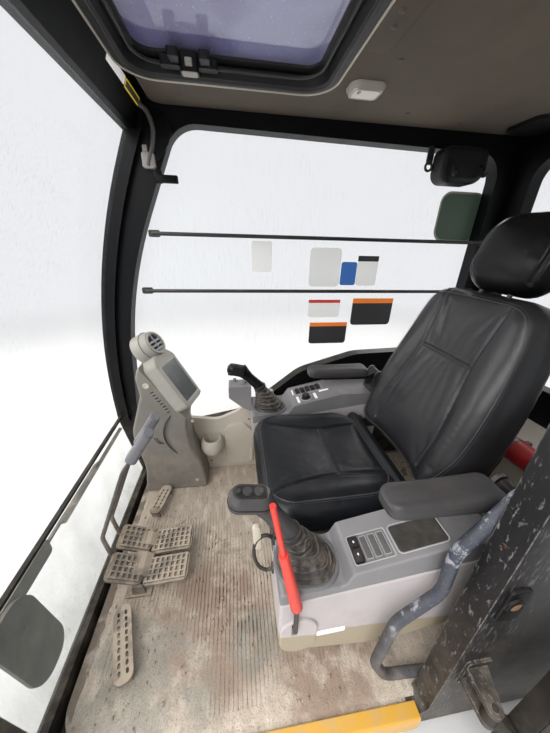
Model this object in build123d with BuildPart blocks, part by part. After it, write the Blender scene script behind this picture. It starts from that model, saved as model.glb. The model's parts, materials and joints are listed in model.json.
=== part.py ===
from build123d import *
from math import atan2, cos, radians, sin, tan
import os

os.makedirs("parts", exist_ok=True)

# Operator's cab of a crawler excavator, with its seat, consoles and controls. Millimetres.
# +Z is up, -Y is the front, +X is the operator's left, where the door is.
# The origin is the middle of the four mount bolts, at the underside of the mount pads.

# Overall form
cab_width = 1004            # over the two side frames, without the bonded windows
side_depth = 54             # pillars and rails, from the outer face inwards
front_face = -886           # foremost line of the windscreen
front_foot = -812           # the lower windscreen rakes back to here
rake_top = 404
front_arc = 2300            # the upper windscreen's radius
front_arc_vertex = 997
roof_front = -599
rear_face = 862
roof_line = 1630            # top of the side frames
skirt_bottom = 20
wall_gap = 0.3              # running gap of a slider on its rail
swing_gap = 5               # least room beside anything that moves
half_width = cab_width / 2
inner_face = half_width - side_depth

# Floor and mounts
floor_top = 80
mat_thickness = 8
plate_thickness = 6
pad_thickness = 12
pad_size = 120
mount_spacing_x = 720
mount_spacing_y = 1180
mount_bolt_hole = 18
rail_width = 90
rail_wall = 5
plate_bottom = floor_top - mat_thickness - plate_thickness

# Doorway, door and hinges
sill_inner = inner_face + 30
sill_proud = 10
sill_height = 84
doorway_front = -746
doorway_rear = 135
doorway_top = 1545
door_thickness = 36
door_lap = 20
seal_radius = 7
hinge_x = half_width + 64
hinge_y = 175
hinge_pin = 12
hinge_barrel = 30
hinge_heights = (300, 1210)
hinge_knuckle = 34

# Glass
glass = 5
glass_lap = 15

# Roof, hatch and lining
roof_thickness = 16
roof_rib = 5
header_bottom = 1500
header_depth = 34
hatch_half_width = 262      # clear opening in the lining's trim ring
hatch_front = -560
hatch_rear = -58
hatch_corner = 60
hatch_pane = 6
trim_band = 28              # from the clear opening out to the lining
lining_bottom = 1572
lining_thickness = 22

# Seat
cushion_front = -272
cushion_rear = 150
cushion_half_width = 248
cushion_bottom = 452
cushion_top = 552
recline_y = 205
recline_z = 470
back_lean = 17              # degrees from upright
back_height = 636
back_thickness = 118
back_half_width = 250
headrest_width = 266
headrest_height = 216
headrest_thickness = 118

# Consoles
left_console_inner = 286
console_width = 122
right_console_outer = -418
right_console_inner = -256
left_console_rear = 292
right_console_rear = 302
left_lever = (344, -178, 512)       # middle of the boot's foot
right_lever = (-318, -184, 508)
armrest_length = 262
armrest_width = 84
armrest_thickness = 46


def side_plane(x):
    """Sketch plane facing the door side: first coordinate y, second z."""
    return Plane.YZ.offset(x)


def cross_plane(y):
    """Sketch plane facing the front: first coordinate x, second z."""
    return Plane.XZ.offset(-y)


def level(z):
    """Sketch plane facing up: first coordinate x, second y."""
    return Plane.XY.offset(z)


def outline(rows):
    """Closed face from rows of first coordinate, second coordinate, corner radius."""
    with BuildLine(mode=Mode.PRIVATE) as edge_line:
        FilletPolyline(*[row[:2] for row in rows], radius=[row[2] for row in rows], close=True)
    make_face(edge_line.edges())


# The cab's side view: y, z, corner radius
cab_side = (
    (front_foot, skirt_bottom, 20),
    (front_face, rake_top, 300),
    (front_face, front_arc_vertex, front_arc),
    (roof_front, roof_line, 40),
    (rear_face, roof_line, 40),
    (rear_face, skirt_bottom, 30),
)
# The side and rear windows share one sill, head and rear edge
window_sill = 716
window_head = 1512
window_rear = 730
quarter_front = 302
# Window in the right side: y, z, corner radius
right_window = (
    (-806, 300, 60),
    (-743, 995, 1700),
    (-494, 1531, 110),
    (window_rear, window_head, 90),
    (window_rear, window_sill, 60),
    (250, 700, 260),
    (-20, 618, 200),
    (-290, 400, 160),
)
# Doorway in the left side, down to the floor: y, z, corner radius
doorway = (
    (doorway_front, floor_top - mat_thickness, 40),
    (-811, 397, 240),
    (-811, 981, 2200),
    (-555, doorway_top, 110),
    (doorway_rear, doorway_top, 60),
    (doorway_rear, floor_top - mat_thickness, 30),
)
# Fixed window behind the doorway: y, z, corner radius
quarter_window = (
    (quarter_front, window_head, 60),
    (window_rear, window_head, 90),
    (window_rear, window_sill, 60),
    (quarter_front, window_sill, 60),
)
# Rear window: x, z, corner radius
rear_window = (
    (73 - inner_face, window_sill - 16, 60),
    (73 - inner_face, window_head - 22, 80),
    (inner_face - 73, window_head - 22, 80),
    (inner_face - 73, window_sill - 16, 60),
)


def side_outline(inset):
    """The cab's side view, drawn in by a distance."""
    outline(cab_side)
    if inset:
        offset(amount=-inset, kind=Kind.INTERSECTION)


def front_band(x_from, width, inset, depth, z_low, z_high, y_rear):
    """Band along the front of the side view, between two heights, extruded across the cab."""
    with BuildSketch(side_plane(x_from)) as band:
        side_outline(inset)
        with BuildSketch(mode=Mode.PRIVATE) as inner:
            side_outline(inset + depth)
        add(inner.sketch, mode=Mode.SUBTRACT)
        with Locations(((front_face - 20 + y_rear) / 2, (z_low + z_high) / 2)):
            Rectangle(y_rear - front_face + 20, z_high - z_low, mode=Mode.INTERSECT)
    extrude(band.sketch, amount=width)


# Base frame: floor plate on two box rails and three crossmembers, with four bolted pads
rail_top = plate_bottom
rail_height = rail_top - pad_thickness
with BuildPart() as base_frame:
    with BuildSketch(level(plate_bottom)):
        outline((
            (-inner_face, -786, 40), (inner_face, -786, 90),
            (inner_face, 806, 10), (-inner_face, 806, 10),
        ))
    extrude(amount=plate_thickness)
    with BuildSketch(cross_plane(760)):
        with Locations(*[(side * mount_spacing_x / 2, pad_thickness + rail_height / 2) for side in (-1, 1)]):
            Rectangle(rail_width, rail_height)
            Rectangle(rail_width - 2 * rail_wall, rail_height - 2 * rail_wall, mode=Mode.SUBTRACT)
    extrude(amount=1446)
    for y in (-640, 0, 700):
        with BuildSketch(side_plane(-mount_spacing_x / 2 + rail_width / 2)):
            with Locations((y, pad_thickness + 6 + (rail_height - 6) / 2)):
                Rectangle(60, rail_height - 6)
                Rectangle(50, rail_height - 16, mode=Mode.SUBTRACT)
        extrude(amount=mount_spacing_x - rail_width)
    with BuildSketch(level(0)):
        with GridLocations(mount_spacing_x, mount_spacing_y, 2, 2):
            RectangleRounded(pad_size, pad_size, 14)
    extrude(amount=pad_thickness)
    with BuildSketch(level(0)):
        with GridLocations(mount_spacing_x, mount_spacing_y, 2, 2):
            Circle(mount_bolt_hole / 2)
    extrude(amount=pad_thickness + rail_wall, mode=Mode.SUBTRACT)

# Floor mat, ribbed across the cab and lapped over the sill in the doorway
mat_rib_pitch = 12
mat_rib_width = 7
mat_rib_height = 3
mat_rib_front = -730
mat_rib_rear = 206
with BuildPart() as floor_mat:
    mat_base = mat_thickness - mat_rib_height
    with BuildSketch(level(floor_top - mat_thickness)):
        outline((
            (-inner_face, -784, 40), (inner_face, -784, 90),
            (inner_face, 800, 8), (-inner_face, 800, 8),
        ))
        with Locations(((inner_face + sill_inner) / 2, (doorway_front + doorway_rear) / 2)):
            Rectangle(sill_inner - inner_face, doorway_rear - doorway_front - 84)
    extrude(amount=mat_base)
    with BuildSketch(level(floor_top - mat_thickness + mat_base)):
        with Locations((0, (mat_rib_front + mat_rib_rear) / 2)):
            with GridLocations(0, mat_rib_pitch, 1, int((mat_rib_rear - mat_rib_front) / mat_rib_pitch)):
                Rectangle(2 * inner_face - 28, mat_rib_width)
    extrude(amount=mat_rib_height)

# Side frames: one pressed ring each, with the pillars, the roof rail and the lower wall.
# The left one carries the door's hinge lugs, two at each height.
with BuildPart() as right_side_frame:
    with BuildSketch(side_plane(-half_width)):
        side_outline(0)
        with BuildSketch(mode=Mode.PRIVATE) as right_opening:
            outline(right_window)
        add(right_opening.sketch, mode=Mode.SUBTRACT)
    extrude(amount=side_depth)

with BuildPart() as left_side_frame:
    with BuildSketch(side_plane(inner_face)):
        side_outline(0)
        for opening in (doorway, quarter_window):
            with BuildSketch(mode=Mode.PRIVATE) as left_opening:
                outline(opening)
            add(left_opening.sketch, mode=Mode.SUBTRACT)
    extrude(amount=side_depth)
    for z in hinge_heights:
        for side in (-1, 1):
            with BuildSketch(level(z + side * (hinge_knuckle / 2 + 6 + wall_gap) - 6)):
                outline((
                    (half_width, hinge_y - 14, 0), (hinge_x, hinge_y - 15, 0),
                    (hinge_x, hinge_y + 15, 0), (half_width, hinge_y + 38, 0),
                ))
                with Locations((hinge_x, hinge_y)):
                    Circle(hinge_barrel / 2)
                    Circle(hinge_pin / 2 + wall_gap, mode=Mode.SUBTRACT)
            extrude(amount=12)
        with BuildSketch(side_plane(half_width)):
            with Locations((hinge_y + 16, z)):
                RectangleRounded(60, 96, 8)
        extrude(amount=6)

# Rear wall with its window, between the side frames
rear_wall = 50
with BuildPart() as rear_panel:
    with BuildSketch(cross_plane(rear_face)):
        with Locations((0, (skirt_bottom + roof_line) / 2)):
            Rectangle(2 * inner_face, roof_line - skirt_bottom)
        with BuildSketch(mode=Mode.PRIVATE) as rear_opening:
            outline(rear_window)
        add(rear_opening.sketch, mode=Mode.SUBTRACT)
    extrude(amount=rear_wall)
    rear_top = rear_panel.edges().filter_by(Axis.X).sort_by(Axis.Z)[-2:].sort_by(Axis.Y)[-1]
    fillet(rear_top, rear_wall - 8)

# Windscreen header under the roof, and the lower front crossmember
with BuildPart() as front_crossmembers:
    front_band(-inner_face, 2 * inner_face, 0, header_depth, header_bottom, roof_line, hatch_front - trim_band)
    front_band(-inner_face, 2 * inner_face, 0, 26, skirt_bottom, plate_bottom + plate_thickness + 24, -700)

# Windscreen in two panes, and the channels that the upper pane runs in
lower_pane_foot = floor_top + 16
lower_pane_inset = 6        # from the front of the side view back to the glass
upper_pane_inset = 16
pane_split = 428
pane_top = header_bottom - 2
divider_height = 10
divider_depth = 12
track_depth = 35
with BuildPart() as windshield_panes:
    front_band(-inner_face, 2 * inner_face, lower_pane_inset, glass, lower_pane_foot, pane_split - 8, -700)
    front_band(-inner_face + 6, 2 * inner_face - 12, upper_pane_inset, glass, pane_split, pane_top, -500)
channel_width = 22
channel_inset = upper_pane_inset + glass
with BuildPart() as windshield_tracks:
    for x in (-inner_face, inner_face - channel_width):
        front_band(x, channel_width, channel_inset, track_depth, pane_split - 30, pane_top + 1, -500)
    front_band(-inner_face + channel_width, 2 * inner_face - 2 * channel_width, channel_inset, divider_depth,
               pane_split, pane_split + divider_height, -700)


def bonded_pane(rows, plane):
    """Pane that laps the opening all round, on the frame's outer face."""
    with BuildSketch(plane) as pane:
        outline(rows)
        offset(amount=glass_lap)
    extrude(pane.sketch, amount=glass)


with BuildPart() as fixed_window_panes:
    bonded_pane(right_window, side_plane(-half_width - glass))
    bonded_pane(quarter_window, side_plane(half_width))
    bonded_pane(rear_window, cross_plane(rear_face + glass))

# Outer skin below the right window, and the sill nosing under the doorway
skin = 3
with BuildPart() as outer_skins:
    with BuildSketch(side_plane(-half_width - skin)):
        side_outline(0)
        with BuildSketch(mode=Mode.PRIVATE) as skin_cut:
            outline(right_window)
            offset(amount=glass_lap + 4)
        add(skin_cut.sketch, mode=Mode.SUBTRACT)
        with Locations((0, 340)):
            Rectangle(2 * rear_face + 200, 680, mode=Mode.INTERSECT)
    extrude(amount=skin)

    with BuildSketch(cross_plane(doorway_rear - 22)):
        outline((
            (sill_inner, floor_top, 0), (sill_inner, sill_height, 2),
            (half_width + sill_proud, sill_height, 6), (half_width + sill_proud, skirt_bottom, 2),
            (half_width, skirt_bottom, 0), (half_width, floor_top, 0),
        ))
    extrude(amount=doorway_rear - doorway_front - 74)

# Two guard rods across the right window, on the inside
guard_rod = 14
guard_rear = 758
guard_rods = ((1202, -610), (998, -665))        # height, front end
with BuildPart() as window_guard_bars:
    for z, front_end in guard_rods:
        with BuildSketch(cross_plane(guard_rear)):
            with Locations((-inner_face + 12, z)):
                Circle(guard_rod / 2)
        extrude(amount=guard_rear - front_end)
        for y in (front_end + 6, guard_rear - 6):
            with BuildSketch(side_plane(-inner_face)):
                with Locations((y, z)):
                    RectangleRounded(40, 24, 6)
            extrude(amount=7)

# Roof panel: shallow crown, ribs behind the hatch, a flange down into the opening, and hinge lugs
roof_top = roof_line + roof_thickness
frame_gap = 8               # between the hatch frame's wall and the roof's flange
flange_wall = 4
ring_bottom = lining_bottom - 4
ring_top = lining_bottom + lining_thickness + swing_gap
hatch_frame_wall = 5
hatch_frame_bottom = ring_top + swing_gap
hatch_flange = 6
hatch_flange_low = roof_top + swing_gap
hatch_frame_edge = trim_band - flange_wall - frame_gap
hatch_lip = 22              # the frame's flange beyond its wall, over the roof
hatch_inner_lip = 22        # the frame's ledge inside the clear opening
hatch_middle = (hatch_front + hatch_rear) / 2
hatch_length = hatch_rear - hatch_front
hinge_eye = 8
hatch_hinge_y = hatch_rear + hatch_frame_edge + hatch_lip + 14
hatch_hinge_z = roof_top + hinge_eye + swing_gap
hatch_hinge_x = 150
roof_ribs = (-240, -80, 80, 240)


def hatch_outline(beyond, mode=Mode.ADD):
    """Rounded outline of the hatch's clear opening, drawn out by a distance."""
    with Locations((0, hatch_middle)):
        RectangleRounded(2 * (hatch_half_width + beyond), hatch_length + 2 * beyond, hatch_corner + beyond,
                         mode=mode)


def hatch_ring(z, height, outer, inner):
    """Ring round the hatch opening between two outlines."""
    with BuildSketch(level(z)) as ring:
        hatch_outline(outer)
        hatch_outline(inner, Mode.SUBTRACT)
    extrude(ring.sketch, amount=height)


with BuildPart() as roof_panel:
    with BuildSketch(cross_plane(rear_face + 4)):
        outline((
            (-half_width, roof_line, 0), (-half_width, roof_line + 8, 5),
            (-half_width + 60, roof_top, 60), (half_width - 60, roof_top, 60),
            (half_width, roof_line + 8, 5), (half_width, roof_line, 0),
        ))
    extrude(amount=rear_face + 4 - roof_front - 2)
    fillet(roof_panel.edges().filter_by(Axis.Z), 6)
    with BuildSketch(level(roof_top)):
        with Locations(*[(x, 420) for x in roof_ribs]):
            SlotOverall(680, 44, rotation=90)
    extrude(amount=roof_rib, taper=30)
    with BuildSketch(level(roof_line)):
        hatch_outline(trim_band - flange_wall)
    extrude(amount=roof_thickness, mode=Mode.SUBTRACT)
    hatch_ring(ring_top, roof_line - ring_top, trim_band, trim_band - flange_wall)
    for side in (-1, 1):
        for end in (-1, 1):
            with BuildSketch(side_plane(side * hatch_hinge_x + end * 27 - 6)):
                outline(((hatch_hinge_y - hinge_eye, hatch_hinge_z, 0), (hatch_hinge_y + hinge_eye, hatch_hinge_z, 0),
                         (hatch_hinge_y + 16, roof_top, 0), (hatch_hinge_y - hinge_eye, roof_top, 0)))
                with Locations((hatch_hinge_y, hatch_hinge_z)):
                    Circle(hinge_eye)
                    Circle(4 + wall_gap, mode=Mode.SUBTRACT)
            extrude(amount=12)

# Moulded lining under the roof
lining_front = -560
lining_rear = 806
with BuildPart() as headliner:
    with BuildSketch(level(lining_bottom)):
        with Locations((0, (lining_front + lining_rear) / 2)):
            RectangleRounded(2 * inner_face - 8, lining_rear - lining_front, 40)
        hatch_outline(trim_band, Mode.SUBTRACT)
    extrude(amount=lining_thickness)

# Rounded bezels of the two rear speakers, under the lining
with BuildPart() as speakers:
    for side in (-1, 1):
        with BuildSketch(level(lining_bottom)) as bezel:
            with Locations((side * 332, 720)):
                RectangleRounded(150, 130, 34)
        extrude(bezel.sketch, amount=-12)

# Trim ring that lines the hatch opening
with BuildPart() as hatch_trim:
    hatch_ring(ring_bottom, ring_top - ring_bottom, trim_band, 0)
    fillet(hatch_trim.edges().group_by(Axis.Z)[0], 6)


# Trim on the lower right wall, with a cup ring
trim_depth = 22
with BuildPart() as right_trim:
    with BuildSketch(side_plane(-inner_face)):
        outline((
            (-770, floor_top, 10), (-806, 420, 40), (-564, 405, 60), (-424, 382, 110),
            (-330, 424, 90), (-241, 486, 60), (-200, 530, 20), (-150, 530, 10), (-150, floor_top, 10),
        ))
    extrude(amount=trim_depth)
    with BuildSketch(side_plane(-inner_face + trim_depth)):
        outline(((-396, 100, 40), (-396, 350, 50), (-300, 366, 40), (-252, 310, 30), (-252, 100, 30)))
    extrude(amount=12, taper=12)
    fillet(right_trim.faces().sort_by(Axis.X)[-1].edges(), 5)

cup_centre = (-394, -456)
cup_radius = 38             # inside
cup_bottom = 218
cup_height = 84
cup_wall = 6
cup_bulge = 10              # of the body beyond the rim
with BuildPart() as cup_holder:
    rim = cup_radius + cup_wall
    with BuildSketch(Plane(origin=(*cup_centre, cup_bottom), x_dir=(1, 0, 0), z_dir=(0, -1, 0))) as cup_section:
        with BuildLine(mode=Mode.PRIVATE) as cup_line:
            Line((0, 0), (cup_radius, 0))
            ThreePointArc((cup_radius, 0), (rim + cup_bulge, cup_height * 0.5), (rim, cup_height))
            Polyline((rim, cup_height), (cup_radius, cup_height), (cup_radius, cup_wall + 6), (0, cup_wall), (0, 0))
        make_face(cup_line.edges())
    revolve(cup_section.sketch, axis=Axis((*cup_centre, 0), (0, 0, 1)))
    with BuildSketch(level(cup_bottom + 12)) as neck:
        with Locations((-inner_face + trim_depth + 10, cup_centre[1])):
            Rectangle(20, 70)
    extrude(neck.sketch, amount=cup_height - 30)
    with BuildSketch(level(cup_bottom + cup_wall + 6)) as bore:
        with Locations(cup_centre):
            Circle(cup_radius)
    extrude(bore.sketch, amount=cup_height, mode=Mode.SUBTRACT)
    with BuildSketch(side_plane(-inner_face - 40)) as wall_cut:
        with Locations((cup_centre[1], cup_bottom)):
            Rectangle(4 * cup_radius, 4 * cup_height)
    extrude(wall_cut.sketch, amount=trim_depth + 40, mode=Mode.SUBTRACT)

# Storage box across the rear wall
with BuildPart() as rear_shelf:
    with BuildSketch(side_plane(-inner_face + 10)):
        outline((
            (rear_face - rear_wall, floor_top, 0), (708, floor_top, 20),
            (694, 530, 50), (rear_face - rear_wall, 572, 0),
        ))
    extrude(amount=2 * inner_face - 20)

# Monitor: column on the floor, leaning head, screen and round air outlet
head_turn = radians(74.7)
head_tilt = radians(31.9)
head_normal = (cos(head_tilt) * cos(head_turn), cos(head_tilt) * sin(head_turn), sin(head_tilt))
head_plane = Plane(origin=(-358, -559, 645), x_dir=(-sin(head_turn), cos(head_turn), 0), z_dir=head_normal)
head_depth = 62
column_left = -424
column_width = 122
slot_count = 8
slot_row = ((-666, 617), (-611, 522))       # middles of the first and last slot: y, z
with BuildPart() as monitor_column:
    with BuildSketch(side_plane(column_left)):
        outline((
            (-770, floor_top, 10), (-750, 227, 300), (-780, 416, 180), (-716, 600, 60), (-722, 680, 60),
            (-700, 748, 24), (-520, 575, 10), (-548, 440, 120), (-540, 330, 100), (-500, 220, 60),
            (-482, floor_top, 20),
        ))
    extrude(amount=column_width)
    fillet(monitor_column.faces().sort_by(Axis.X)[-1].edges(), 12)
    with BuildSketch(head_plane.offset(-head_depth)):
        Rectangle(600, 800)
    extrude(amount=300, mode=Mode.SUBTRACT)
    with BuildSketch(side_plane(column_left + column_width)) as slots:
        for step in range(slot_count):
            share = step / (slot_count - 1)
            with Locations((slot_row[0][0] + share * (slot_row[1][0] - slot_row[0][0]),
                            slot_row[0][1] + share * (slot_row[1][1] - slot_row[0][1]))):
                Rectangle(14, 5, rotation=22)
    extrude(slots.sketch, amount=-12, mode=Mode.SUBTRACT)
    with BuildSketch(side_plane(column_left + column_width)) as scoop:
        with BuildLine(mode=Mode.PRIVATE) as scoop_line:
            ThreePointArc((-602, 508), (-648, 425), (-597, 292))
            ThreePointArc((-597, 292), (-624, 400), (-602, 508))
        make_face(scoop_line.edges())
    extrude(scoop.sketch, amount=-14, mode=Mode.SUBTRACT)

screen_width = 113
screen_height = 171
screen_recess = 5
vent_offset = 180
vent_radius = 40
vent_depth = 24
vent_proud = 14             # the outlet's turret stands ahead of the screen's face
with BuildPart() as monitor_head:
    with BuildSketch(head_plane.offset(-head_depth)) as pod:
        outline((
            (-72, -112, 20), (72, -112, 20), (76, 108, 30), (48, 140, 20), (-48, 140, 20), (-76, 108, 30),
        ))
    extrude(pod.sketch, amount=head_depth)
    fillet(monitor_head.faces().sort_by(Axis((0, 0, 0), head_normal))[-1].edges(), 9)
    turret_rings = []
    for distance, radius in ((-head_depth, 62), (-head_depth * 0.3, 58), (vent_proud, vent_radius + 7)):
        with BuildSketch(head_plane.offset(distance)) as turret:
            with Locations((0, vent_offset)):
                Circle(radius)
        turret_rings.append(turret.sketch)
    loft(turret_rings, ruled=True)
    with BuildSketch(head_plane.offset(-screen_recess)) as pocket:
        Rectangle(screen_width, screen_height)
    extrude(pocket.sketch, amount=screen_recess + vent_proud, mode=Mode.SUBTRACT)
    with BuildSketch(head_plane.offset(vent_proud)) as mouth:
        with Locations((0, vent_offset)):
            Circle(vent_radius)
    extrude(mouth.sketch, amount=-vent_depth, mode=Mode.SUBTRACT)

with BuildPart() as monitor_screen:
    with BuildSketch(head_plane.offset(-screen_recess)):
        Rectangle(screen_width, screen_height)
    extrude(amount=screen_recess - 1.5)

louvres = (-26, -9, 8)
with BuildPart() as air_vent:
    with BuildSketch(head_plane.offset(vent_proud - vent_depth)):
        with Locations((0, vent_offset)):
            Circle(vent_radius)
            Circle(vent_radius - 4, mode=Mode.SUBTRACT)
            for step in louvres:
                with Locations((0, step)):
                    Rectangle(2 * ((vent_radius - 4) ** 2 - step ** 2) ** 0.5, 9)
            Rectangle(5, 2 * vent_radius - 4)
    extrude(amount=vent_depth - 3)

# Seat: sprung base in its bellows, slide rails, pan, cushion, back and headrest
seat_x = 10
base_top = 398
rail_height_seat = 26
rail_spread = 300
with BuildPart() as seat_base:
    with BuildSketch(level(floor_top)):
        with Locations((seat_x, 10)):
            RectangleRounded(400, 440, 20)
    extrude(amount=14)
    fold_count = 7
    fold_height = (base_top - 14 - floor_top - 14) / fold_count
    for fold in range(fold_count):
        with BuildSketch(level(floor_top + 14 + fold * fold_height)):
            with Locations((seat_x, 10)):
                RectangleRounded(352, 392, 46)
        extrude(amount=fold_height / 2, taper=-34)
        with BuildSketch(level(floor_top + 14 + (fold + 1) * fold_height)):
            with Locations((seat_x, 10)):
                RectangleRounded(352, 392, 46)
        extrude(amount=-fold_height / 2, taper=-34)
    with BuildSketch(level(base_top - 14)):
        with Locations((seat_x, 10)):
            RectangleRounded(390, 430, 16)
    extrude(amount=14)
    with BuildSketch(level(base_top)):
        with Locations((seat_x - rail_spread / 2, 10), (seat_x + rail_spread / 2, 10)):
            Rectangle(26, 420)
    extrude(amount=rail_height_seat)

    beam_low = base_top - 14
    for x_from, x_to in ((right_console_outer + 162, seat_x - 195), (seat_x + 195, left_console_inner)):
        with BuildSketch(level(beam_low)):
            with Locations(((x_from + x_to) / 2, 60)):
                Rectangle(x_to - x_from, 150)
        extrude(amount=14)

pan_bottom = base_top + rail_height_seat + wall_gap
upright_x = cushion_half_width - 2
with BuildPart() as seat_pan:
    with BuildSketch(level(pan_bottom)):
        with Locations((seat_x, (cushion_front + cushion_rear) / 2 + 20)):
            RectangleRounded(2 * (upright_x - 4), cushion_rear - cushion_front - 20, 30)
    extrude(amount=cushion_bottom - pan_bottom)
    with BuildSketch(level(base_top + swing_gap)):
        for side in (-1, 1):
            with Locations((seat_x + side * (rail_spread / 2 + 13 + wall_gap + 4), -40)):
                Rectangle(8, 340)
            with Locations((seat_x + side * (rail_spread / 2 - 13 - wall_gap - 4), -40)):
                Rectangle(8, 340)
    extrude(amount=pan_bottom - base_top)
    for side in (-1, 1):
        with BuildSketch(side_plane(seat_x + side * upright_x - 4)):
            outline((
                (cushion_rear - 60, pan_bottom, 4), (cushion_rear - 60, cushion_bottom, 10),
                (recline_y - 20, recline_z + 24, 20), (recline_y + 22, recline_z + 24, 20),
                (recline_y + 22, recline_z - 24, 20), (cushion_rear, pan_bottom, 10),
            ))
        extrude(amount=8)
    with BuildSketch(side_plane(seat_x - upright_x)):
        with Locations((recline_y, recline_z)):
            Circle(8)
    extrude(amount=2 * upright_x)

with BuildPart() as seat_cushion:
    with BuildSketch(level(cushion_bottom)):
        with Locations((seat_x, (cushion_front + cushion_rear) / 2)):
            RectangleRounded(2 * cushion_half_width - 12, cushion_rear - cushion_front, 70)
    extrude(amount=cushion_top - cushion_bottom)
    fillet(seat_cushion.faces().sort_by(Axis.Z)[-1].edges(), 34)
    fillet(seat_cushion.faces().sort_by(Axis.Z)[0].edges(), 12)

lean = radians(back_lean)
back_origin = (seat_x, 180, recline_z)
back_plane = Plane(origin=back_origin, x_dir=(1, 0, 0), z_dir=(0, -cos(lean), sin(lean)))
back_bottom = 88
shoulder_half_width = back_half_width - 50
top_half_width = back_half_width - 92
shell_inset = 14            # the shell's edge, in from the padded back's
shell_thickness = 14
post_radius = 6
post_spread = 96
post_depth = 118
headrest_bottom = back_height + 6
with BuildPart() as seat_back:
    with BuildSketch(back_plane.offset(-back_thickness)):
        outline((
            (-back_half_width + 16, back_bottom, 50), (back_half_width - 16, back_bottom, 50),
            (back_half_width, 230, 200), (shoulder_half_width, 490, 220), (top_half_width, back_height, 60),
            (-top_half_width, back_height, 60), (-shoulder_half_width, 490, 220), (-back_half_width, 230, 200),
        ))
    extrude(amount=back_thickness)
    fillet(seat_back.faces().sort_by(Axis((0, 0, 0), back_plane.z_dir))[-1].edges(), 34)
    with BuildSketch(Plane(back_plane.from_local_coords((0, back_height, -back_thickness / 2)),
                           x_dir=(1, 0, 0), z_dir=back_plane.y_dir)):
        with Locations((-post_spread / 2, 0), (post_spread / 2, 0)):
            Circle(post_radius + wall_gap)
    extrude(amount=-post_depth - 6, mode=Mode.SUBTRACT)

arm_x = back_half_width - 28
with BuildPart() as backrest_shell:
    with BuildSketch(back_plane.offset(-back_thickness - shell_thickness)):
        outline((
            (-back_half_width + 30, back_bottom + 10, 50), (back_half_width - 30, back_bottom + 10, 50),
            (back_half_width - shell_inset, 230, 190), (shoulder_half_width - shell_inset, 490, 200),
            (top_half_width - shell_inset, back_height - shell_inset, 50),
            (-top_half_width + shell_inset, back_height - shell_inset, 50),
            (-shoulder_half_width + shell_inset, 490, 200), (-back_half_width + shell_inset, 230, 190),
        ))
    extrude(amount=shell_thickness)
    for side in (-1, 1):
        with BuildSketch(side_plane(seat_x + side * arm_x - 4)):
            outline((
                (recline_y - 18, recline_z - 18, 10), (recline_y - 18, recline_z + 20, 12),
                (312, 500, 20), (332, 545, 10), (373, 690, 6), (390, 690, 6), (361, 545, 30), (326, 452, 20),
            ))
            with Locations((recline_y, recline_z)):
                Circle(8 + wall_gap, mode=Mode.SUBTRACT)
        extrude(amount=8)

head_offset = headrest_bottom + headrest_height / 2
with BuildPart() as headrest:
    with BuildSketch(back_plane.offset(-back_thickness)):
        with Locations((0, head_offset)):
            RectangleRounded(headrest_width, headrest_height, 78)
    extrude(amount=headrest_thickness)
    fillet(headrest.faces().sort_by(Axis((0, 0, 0), back_plane.z_dir))[-1].edges(), 40)
    fillet(headrest.faces().sort_by(Axis((0, 0, 0), back_plane.z_dir))[0].edges(), 20)

with BuildPart() as headrest_posts:
    with BuildSketch(Plane(back_plane.from_local_coords((0, headrest_bottom, -back_thickness / 2)),
                           x_dir=(1, 0, 0), z_dir=back_plane.y_dir)):
        with Locations((-post_spread / 2, 0), (post_spread / 2, 0)):
            Circle(post_radius)
    extrude(amount=-post_depth)

# Left console: light lower housing and dark top with the lever boot, switches and a tray
console_front = -248
console_joint = 474           # height where the dark top meets the light housing
left_console_outer = left_console_inner + console_width
boss_middle = (-202, 352)
boss_width = 88
boss_proud = 7
lock_pivot = (-213, 396)
with BuildPart() as left_console_housing:
    with BuildSketch(side_plane(left_console_inner)):
        outline((
            (console_front, 280, 70), (console_front, console_joint, 6), (left_console_rear, 552, 6),
            (left_console_rear, 300, 50), (30, 236, 60),
        ))
    extrude(amount=console_width)
    fillet(left_console_housing.faces().sort_by(Axis.X)[-1].edges(), 8)
    with BuildSketch(side_plane(left_console_outer)) as boss:
        with Locations(boss_middle):
            SlotOverall(136, boss_width, rotation=90)
    extrude(boss.sketch, amount=boss_proud)
    fillet(left_console_housing.faces().sort_by(Axis.X)[-1].edges(), 4)
    with BuildSketch(side_plane(left_console_outer + boss_proud)) as boss_slot:
        with Locations((lock_pivot[0], lock_pivot[1] - 8)):
            SlotOverall(50, 13, rotation=90)
    extrude(boss_slot.sketch, amount=-9, mode=Mode.SUBTRACT)

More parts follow.
